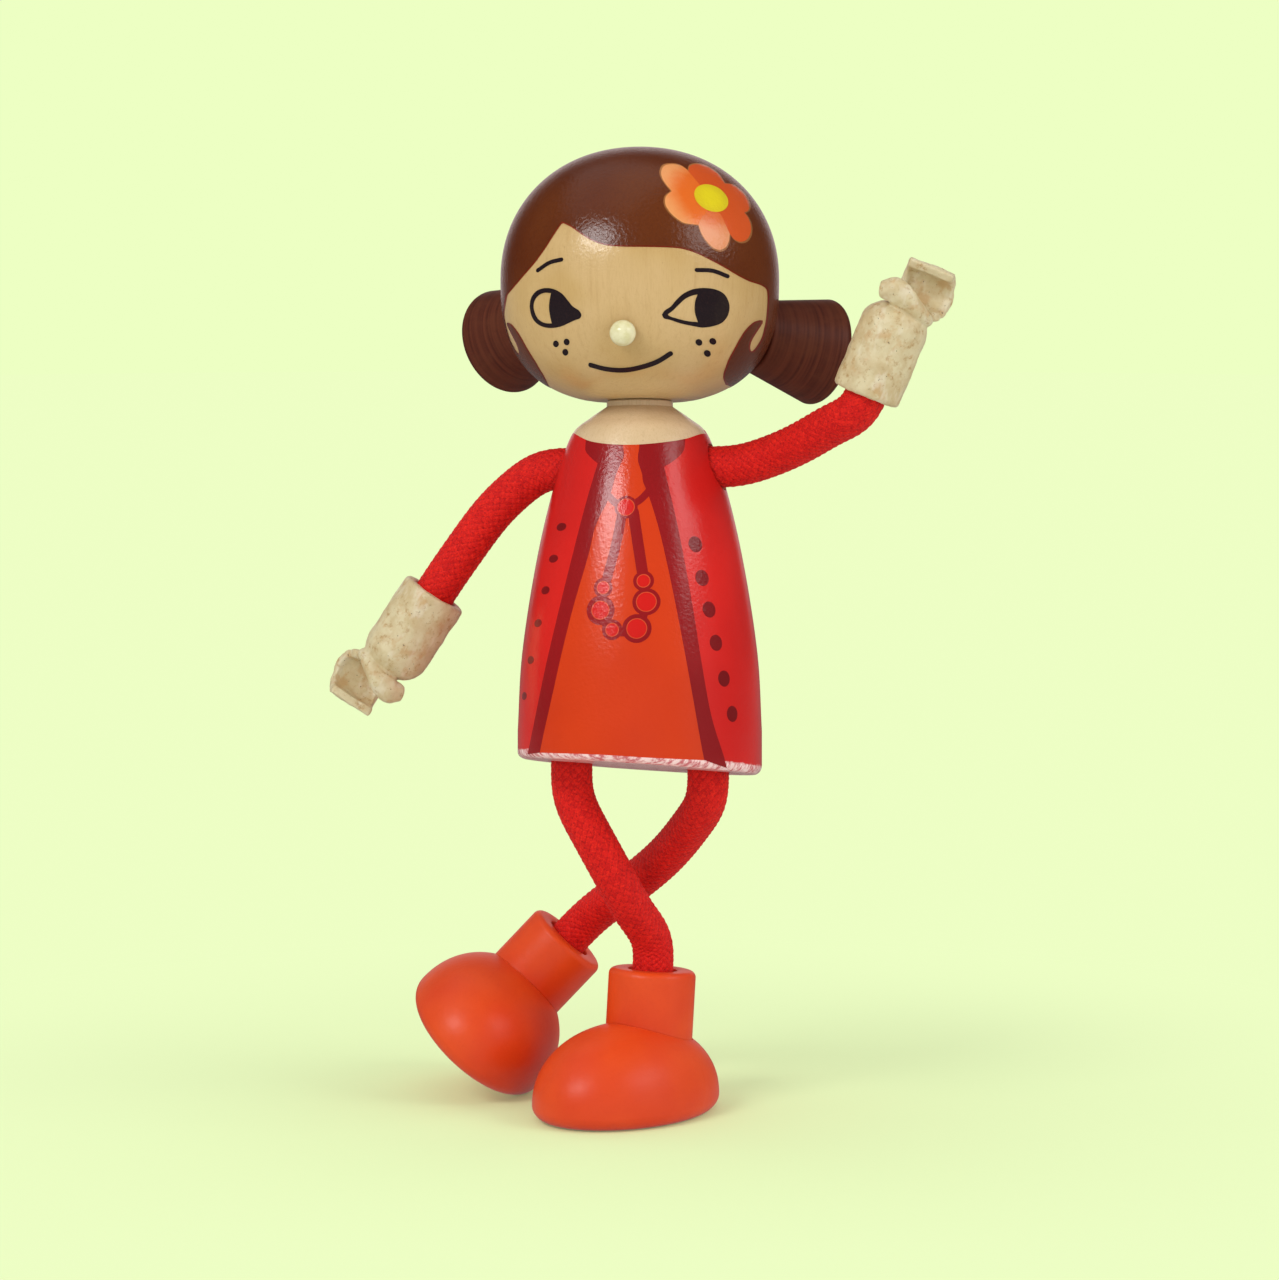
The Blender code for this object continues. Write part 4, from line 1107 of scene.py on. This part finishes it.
def paintDots(blank):
    s = torsoSizes
    bits = []
    for trace, tall in (("rightDots", 1.0), ("leftDots", s["leftDotHeight"])):
        for spot in traceOn(blank, torsoPlace, clothTrace[trace]):
            where = onFront(blank, spot)
            outward = Vector((where.x, where.y, 0)).normalized()
            level = Vector((0, 0, where.z))
            bit = drillBit(outward * 8 + level, outward * 30 + level, s["dotRadius"], 32)
            squashed = Matrix.Translation(level) @ Matrix.Diagonal((1, 1, tall, 1))
            bit.data.transform(squashed @ Matrix.Translation(-level))
            bits.append(bit)
    block = joinPieces(*bits)
    film = paintFilm("jacketDots", blank, [("INTERSECT", block)], s["lifts"]["jacketDots"])
    settle(film, finish=clothPaint("dotDarkRed", torsoPlace, "#861216", "#761014"), **torsoPaint)
    binCutters(block)


torsoBody, torsoBlank = makeTorso()
trimRed = clothPaint("trimDarkRed", torsoPlace, "#9c1216", "#8a1015")
paintClothes(torsoBlank, trimRed)
paintNecklace(torsoBlank, trimRed)
paintDots(torsoBlank)
torsoMaple = lacqueredMaple(torsoPlace, "#e9cea9", "#dbbf96", "#c4a478")
settle(torsoBody, torsoPlace, torsoMaple, "torso", ["torso"], "painted_body")
binCutters(headBlank, torsoBlank)
print("torso is done")


# Hands: one moulding, copied
handSizes = {"cuff": 5.1, "foot": -0.4, "cuffLength": 10.1, "dome": 4.3, "edge": 0.7,
             "cuffRings": (2, 4, 6, 8),
             "slide": {"left": -0.7, "right": -0.15}, "hole": 3.4, "holeDepth": 8.0,
             "holeEdge": (0.2, 0.25),
             "gripCentre": 17.0, "gripRadius": 3.55, "gripWall": 1.3, "voxel": 0.17,
             "gripTip": 64.0, "gripEnd": 288.0, "gripFill": 0.93,
             "cupDepth": 0.8, "cupFrom": 85, "cupOver": 70,  # degrees along the hook
             "castWobble": 0.35, "wobbleSize": 2.2,
             "gripSides": {60: (-1.9, 5.5), 90: (-1.9, 5.8), 135: (-1.7, 6.5), 180: (-1.6, 7.0),
                           215: (-1.7, 6.8), 245: (-2.0, 6.0), 275: (-2.4, 4.9), 300: (-2.6, 4.0)},
             "thumb": [((-4.05, -2.1, 15.1), 1.2), ((-3.2, -2.4, 15.4), 1.6), ((-2.0, -2.7, 15.7), 2.05),
                       ((-0.4, -2.9, 15.2), 1.9), ((1.2, -2.8, 14.5), 1.5), ((2.7, -2.2, 13.8), 1.2),
                       ((3.8, -1.4, 13.4), 1.0), ((4.3, -0.5, 13.3), 0.9)]}


def gripEdges(angle):
    keys = sorted(handSizes["gripSides"])
    for low, high in zip(keys, keys[1:]):
        if low <= angle <= high:
            share = (angle - low) / (high - low)
            share = share * share * (3 - 2 * share)
            a, b = handSizes["gripSides"][low], handSizes["gripSides"][high]
            return [a[i] + (b[i] - a[i]) * share for i in (0, 1)]
    return handSizes["gripSides"][keys[-1]]


def makeGrip():
    # a cupped sheet bent round into a hook, fingertips at the top
    pick()
    bpy.ops.mesh.primitive_grid_add(x_subdivisions=16, y_subdivisions=48, size=2, location=(0, 0, 0))
    grip = bpy.context.object
    grip.name = "grip"
    s = handSizes
    for vertex in grip.data.vertices:
        across, along = vertex.co.x, (vertex.co.y + 1) / 2
        angle = s["gripTip"] + (s["gripEnd"] - s["gripTip"]) * along
        left, right = gripEdges(angle)
        cup = s["cupDepth"] * min(1, max(0, (angle - s["cupFrom"]) / s["cupOver"]))
        radius = s["gripRadius"] - cup * abs(across) ** 3
        a = math.radians(angle)
        vertex.co = ((left + right) / 2 + across * (right - left) / 2 * s["gripFill"],
                     -radius * math.cos(a), s["gripCentre"] + radius * math.sin(a))
    wall = grip.modifiers.new("wall", "SOLIDIFY")
    wall.thickness = s["gripWall"]
    wall.offset = 0
    applyAll(grip)
    return grip


def makeThumb():
    line = bpy.data.curves.new("thumb", "CURVE")
    line.dimensions = "3D"
    line.bevel_depth = 1.0
    line.bevel_resolution = 6
    line.use_fill_caps = True
    spots = smoothThrough([Vector(spot) for spot, size in handSizes["thumb"]], 5)
    sizes = smoothThrough([Vector((size, 0)) for spot, size in handSizes["thumb"]], 5)
    spline = line.splines.new("POLY")
    spline.points.add(len(spots) - 1)
    for point, spot, size in zip(spline.points, spots, sizes):
        point.co = (*spot, 1)
        point.radius = size.x
    thumb = bpy.data.objects.new("thumb", line)
    scene.collection.objects.link(thumb)
    pick(thumb)
    bpy.ops.object.convert(target="MESH")
    return thumb


def makeHandMoulding():
    s = handSizes
    dome = [(r, s["cuffLength"] + rise) for r, rise in quarterOval(s["cuff"], s["dome"], 2.1, 0.0, 14)]
    foot, (aside, up) = s["foot"], s["holeEdge"]
    profile = [(0.0, s["holeDepth"]), (s["hole"], s["holeDepth"]), (s["hole"], foot + up),
               (s["hole"] + aside, foot)]
    profile += roundCorner(s["cuff"] - s["edge"], foot + s["edge"], s["edge"], -90.0, 0.0, 6)
    profile += [(s["cuff"], height) for height in s["cuffRings"]]
    profile += dome[:-1] + [(0.0, s["cuffLength"] + s["dome"])]
    cuff = turnOnLathe("cuff", profile, 96)
    hand = joinPieces(cuff, makeGrip(), makeThumb())
    hand.name = "handMoulding"
    remesh = hand.modifiers.new("clay", "REMESH")
    remesh.mode = "VOXEL"
    remesh.voxel_size = s["voxel"]
    soften = hand.modifiers.new("soften", "SMOOTH")
    soften.factor = 0.5
    soften.iterations = 15
    applyAll(hand)
    wobble = bpy.data.textures.new("castWobble", "CLOUDS")
    wobble.noise_scale = s["wobbleSize"]
    uneven = hand.modifiers.new("uneven", "DISPLACE")
    uneven.texture = wobble
    uneven.strength = s["castWobble"]
    uneven.mid_level = 0.5
    applyAll(hand)
    pick(hand)
    bpy.ops.object.shade_smooth()
    return hand


moulding = makeHandMoulding()
for side in ("left", "right"):
    hand = copyOf(moulding, side + "Hand")
    place = handPlaces[side] @ shift(0, 0, handSizes["slide"][side])
    settle(hand, place, mottledResin(place, side + "HandResin"), side + "_hand", [side + "_hand"],
           "mottled_resin")
binCutters(moulding)
print("hands are done")


# Shoes
shoeSizes = {"halfWidth": 12.3, "halfLength": 16.8, "height": 14.0, "soleRound": 2.3, "soleShare": 0.82,
             "domePower": 2.1, "collar": 6.7, "collarHeight": 12.8, "collarEdge": 1.0, "hole": 3.7,
             "holeDepth": 8.0, "seam": 0.12, "collarRings": (9, 6, 3),
             # how the hole opens: wider by, below the top by
             "mouth": ((0.0, 0.35), (0.12, 0.1), (0.35, 0.0))}


def makeShoe(side):
    s = shoeSizes
    place = footPlaces[side]
    dome = [(r / s["halfWidth"], s["soleRound"] + rise)
            for r, rise in quarterOval(s["halfWidth"], s["height"] - s["soleRound"], s["domePower"], 0.0,
                                       26)]
    under = 1 - s["soleShare"]
    sole = [(s["soleShare"] + under * r, s["soleRound"] * (1 + h))
            for r, h in roundCorner(0, 0, 1.0, -90.0, -6.0, 9)]
    unit = [(0.0, 0.0), (0.35, 0.0)] + sole + dome[:-1] + [(0.0, s["height"])]
    # turned round at a radius of 10, then stretched to an oval
    foot = turnOnLathe(side + "Foot", [(r * 10, h) for r, h in unit], 128)
    pick(foot)
    foot.scale = (s["halfWidth"] / 10, s["halfLength"] / 10, 1)
    bpy.ops.object.transform_apply(location=False, rotation=False, scale=True)
    benchCollar = Matrix.Translation(collarLocal.translation / mm) @ collarLocal.to_3x3().to_4x4()
    low, high = [benchCollar @ Vector((0, 0, height)) for height in (-0.1, s["collarHeight"])]
    drill(foot, low, high, s["collar"] + s["seam"], 96)
    pick(foot)
    bpy.ops.object.shade_smooth_by_angle(angle=math.radians(35))
    settle(foot, place, shoeLacquer(place, side + "FootLacquer"), side + "_foot", [side + "_foot"],
           "orange_lacquer")

    depth, top = s["collarHeight"] - s["holeDepth"], s["collarHeight"]
    profile = [(0.0, depth), (s["hole"], depth)] + [(s["hole"] + wider, top - down) for wider,
                                                    down in s["mouth"]]
    profile += roundCorner(s["collar"] - s["collarEdge"], top - s["collarEdge"], s["collarEdge"], 90.0, 0.0,
                           8)
    profile += [(s["collar"], height) for height in s["collarRings"]] + [(s["collar"], 0.0), (0.0, 0.0)]
    collar = turnOnLathe(side + "AnkleCollar", profile, 96)
    place = place @ collarLocal
    finish = shoeLacquer(place, side + "CollarLacquer")
    settle(collar, place, finish, side + "_foot", [side + "_ankle_collar"], "orange_lacquer")


for side in ("left", "right"):
    makeShoe(side)
print("shoes are done")


# Limbs: braided cord, bending at its joints
cordSizes = {"radius": 3.17, "strands": 15, "pitch": 0.64, "depth": 0.19, "around": 120, "step": 0.16,
             "reach": 3.2, "ease": 2.6, "perSpan": 12, "bendPoints": (2, 4, 6), "endGap": 0.3,
             # how deep a cord sits, and how far it runs straight out of its hole
             "inHand": 8.0, "inCollar": 8.0, "atShoulder": 2.8, "atWrist": 3.5, "atHip": 4.5,
             "atAnkle": 4.0}
routes = {
    "left_arm": [(22.5, -4.4, 101.6), (26.9, -8.6, 104.1), (31.0, -12.9, 107.0)],
    "right_arm": [(-16.2, 4.9, 95.9), (-20.1, 5.4, 92.2), (-24.3, 6.0, 86.5)],
    "left_leg": [(9.8, -1.2, 44.7), (5.8, 6.9, 38.5), (0.6, 14.0, 32.9)],
    "right_leg": [(-5.4, -4.2, 44.2), (-1.9, -3.6, 37.6), (0.9, 0.1, 31.7)],
}


def cordPoints(side, limb):
    # from the bottom of the body's hole to the bottom of the hand's or the shoe's, in millimetres
    sign = 1 if side == "left" else -1
    t, c = torsoSizes, cordSizes
    up = Vector((0, 0, 1))
    if limb == "arm":
        mouth = Vector((sign * t["armMouth"], 0, t["armHeight"]))
        start = (torsoPlace, mouth, Vector((-sign, 0, 0)), t["armDepth"], c["atShoulder"])
        end = (handPlaces[side], Vector((0, 0, 0)), up, c["inHand"], c["atWrist"])
    else:
        start = (torsoPlace, Vector((sign * t["hipSpread"], 0, 0)), up, t["hipDepth"], c["atHip"])
        mouth = Vector((0, 0, shoeSizes["collarHeight"]))
        end = (footPlaces[side] @ collarLocal, mouth, -up, c["inCollar"], c["atAnkle"])
    ends = []
    for place, mouth, inward, depth, straight in (start, end):
        spots = (mouth + inward * (depth - c["endGap"]), mouth, mouth - inward * straight)
        ends.append([place @ (spot * mm) / mm for spot in spots])
    return ends[0] + [Vector(p) for p in routes[side + "_" + limb]] + ends[1][::-1]


def braidHeight(p, q):
    # each crossing is a small pillow along the strand that lies on top
    over = (math.floor(p) + math.floor(q)) % 2 == 0
    across, along = (p % 1.0 - 0.5, q % 1.0 - 0.5) if over else (q % 1.0 - 0.5, p % 1.0 - 0.5)
    return math.sqrt(max(0.0, 1 - (1.9 * across) ** 2)) * (1 - 0.55 * (2 * along) ** 2)


def walkAlong(line, step):
    lengths = [0.0]
    for a, b in zip(line, line[1:]):
        lengths.append(lengths[-1] + (b - a).length)
    count = round(lengths[-1] / step)
    spots, k = [], 1
    for i in range(count + 1):
        far = lengths[-1] * i / count
        while k < len(line) - 1 and lengths[k] < far:
            k += 1
        spots.append(line[k - 1].lerp(line[k], (far - lengths[k - 1]) / (lengths[k] - lengths[k - 1])))
    return spots, lengths


def eased(spots, width):
    # sharp turns of the line are rounded by averaging, its two ends stay
    for again in range(2):
        totals = [Vector()]
        for spot in spots:
            totals.append(totals[-1] + spot)
        made = []
        for i in range(len(spots)):
            w = min(width, i, len(spots) - 1 - i)
            made.append((totals[i + w + 1] - totals[i - w]) / (2 * w + 1))
        spots = made
    return spots


def cordPiece(name, spots, frames, first, last, finish):
    c = cordSizes
    around = c["around"]
    verts, heights, faces, layout = [], [], [], []
    for i in range(first, last + 1):
        side, up = frames[i]
        v = i * c["step"] / (c["pitch"] * 2)
        for k in range(around):
            u = c["strands"] * k / around
            height = braidHeight(u + v, u - v)
            a = math.tau * k / around
            radius = c["radius"] - c["depth"] * (1 - height)
            verts.append(spots[i] + (side * math.cos(a) + up * math.sin(a)) * radius)
            heights.append(height)
    for i in range(last - first):
        for k in range(around):
            n = (k + 1) % around
            faces.append((i * around + k, i * around + n, (i + 1) * around + n, (i + 1) * around + k))
            u0, u1 = c["strands"] * k / around, c["strands"] * (k + 1) / around
            v0, v1 = [(first + i + j) * c["step"] / (c["pitch"] * 2) for j in (0, 1)]
            layout += [(u0, v0), (u1, v0), (u1, v1), (u0, v1)]
    for ring, spot, way in ((0, spots[first], 1), (last - first, spots[last], -1)):
        middle = len(verts)
        verts.append(spot)
        heights.append(0.5)
        for k in range(around):
            n = (k + 1) % around
            corners = (middle, ring * around + n, ring * around + k)
            faces.append(corners if way > 0 else corners[::-1])
            layout += [(0.5, 0.5)] * 3
    mesh = bpy.data.meshes.new(name)
    mesh.from_pydata([v * mm for v in verts], [], faces)
    mesh.uv_layers.new(name="braid")
    for loop, spot in zip(mesh.uv_layers["braid"].data, layout):
        loop.uv = spot
    store = mesh.attributes.new("braidHeight", "FLOAT", "POINT")
    store.data.foreach_set("value", heights)
    mesh.materials.append(finish)
    mesh.shade_smooth()
    piece = bpy.data.objects.new(name, mesh)
    scene.collection.objects.link(piece)
    return piece


def makeLimb(side, limb, nodes, finish):
    c = cordSizes
    points = cordPoints(side, limb)
    line = smoothThrough(points, c["perSpan"])
    spots, lengths = walkAlong(line, c["step"])
    spots = eased(spots, round(c["ease"] / c["step"]))
    bends = [round(len(spots) * lengths[k * c["perSpan"]] / lengths[-1]) for k in c["bendPoints"]]
    frames, up = [], None
    for i, spot in enumerate(spots):
        along = (spots[min(i + 1, len(spots) - 1)] - spots[max(i - 1, 0)]).normalized()
        up = along.orthogonal().normalized() if up is None else (up - along * up.dot(along)).normalized()
        frames.append((up.cross(along), up))
    middles = [0] + [(a + b) // 2 for a, b in zip(bends, bends[1:])] + [len(spots) - 1]
    for k, (first, last) in enumerate(zip(middles, middles[1:])):
        piece = cordPiece(f"{side}{limb.title()}Cord{k + 1}", spots, frames, first, last, finish)
        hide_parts(*nodes[k])
        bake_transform(piece)


cordFinish = braidedRedCord()
for side in ("left", "right"):
    arm, leg = f"{side}_arm_cord_", f"{side}_leg_cord_"
    makeLimb(side, "arm",
             [[arm + "shoulder", f"{side}_arm_wire"], [arm + "upper"], [arm + "fore", arm + "wrist"]],
             cordFinish)
    makeLimb(side, "leg",
             [[leg + "hip", f"{side}_leg_wire"], [leg + "thigh"], [leg + "shin", leg + "ankle"]],
             cordFinish)
print("limbs are done")


# Dowels stay as they are, in plain wood
dowelWood = plainDowelWood()
for name in ("neck_dowel", "left_bunch_dowel", "right_bunch_dowel"):
    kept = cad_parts[name]
    kept.data.materials.clear()
    kept.data.materials.append(dowelWood)
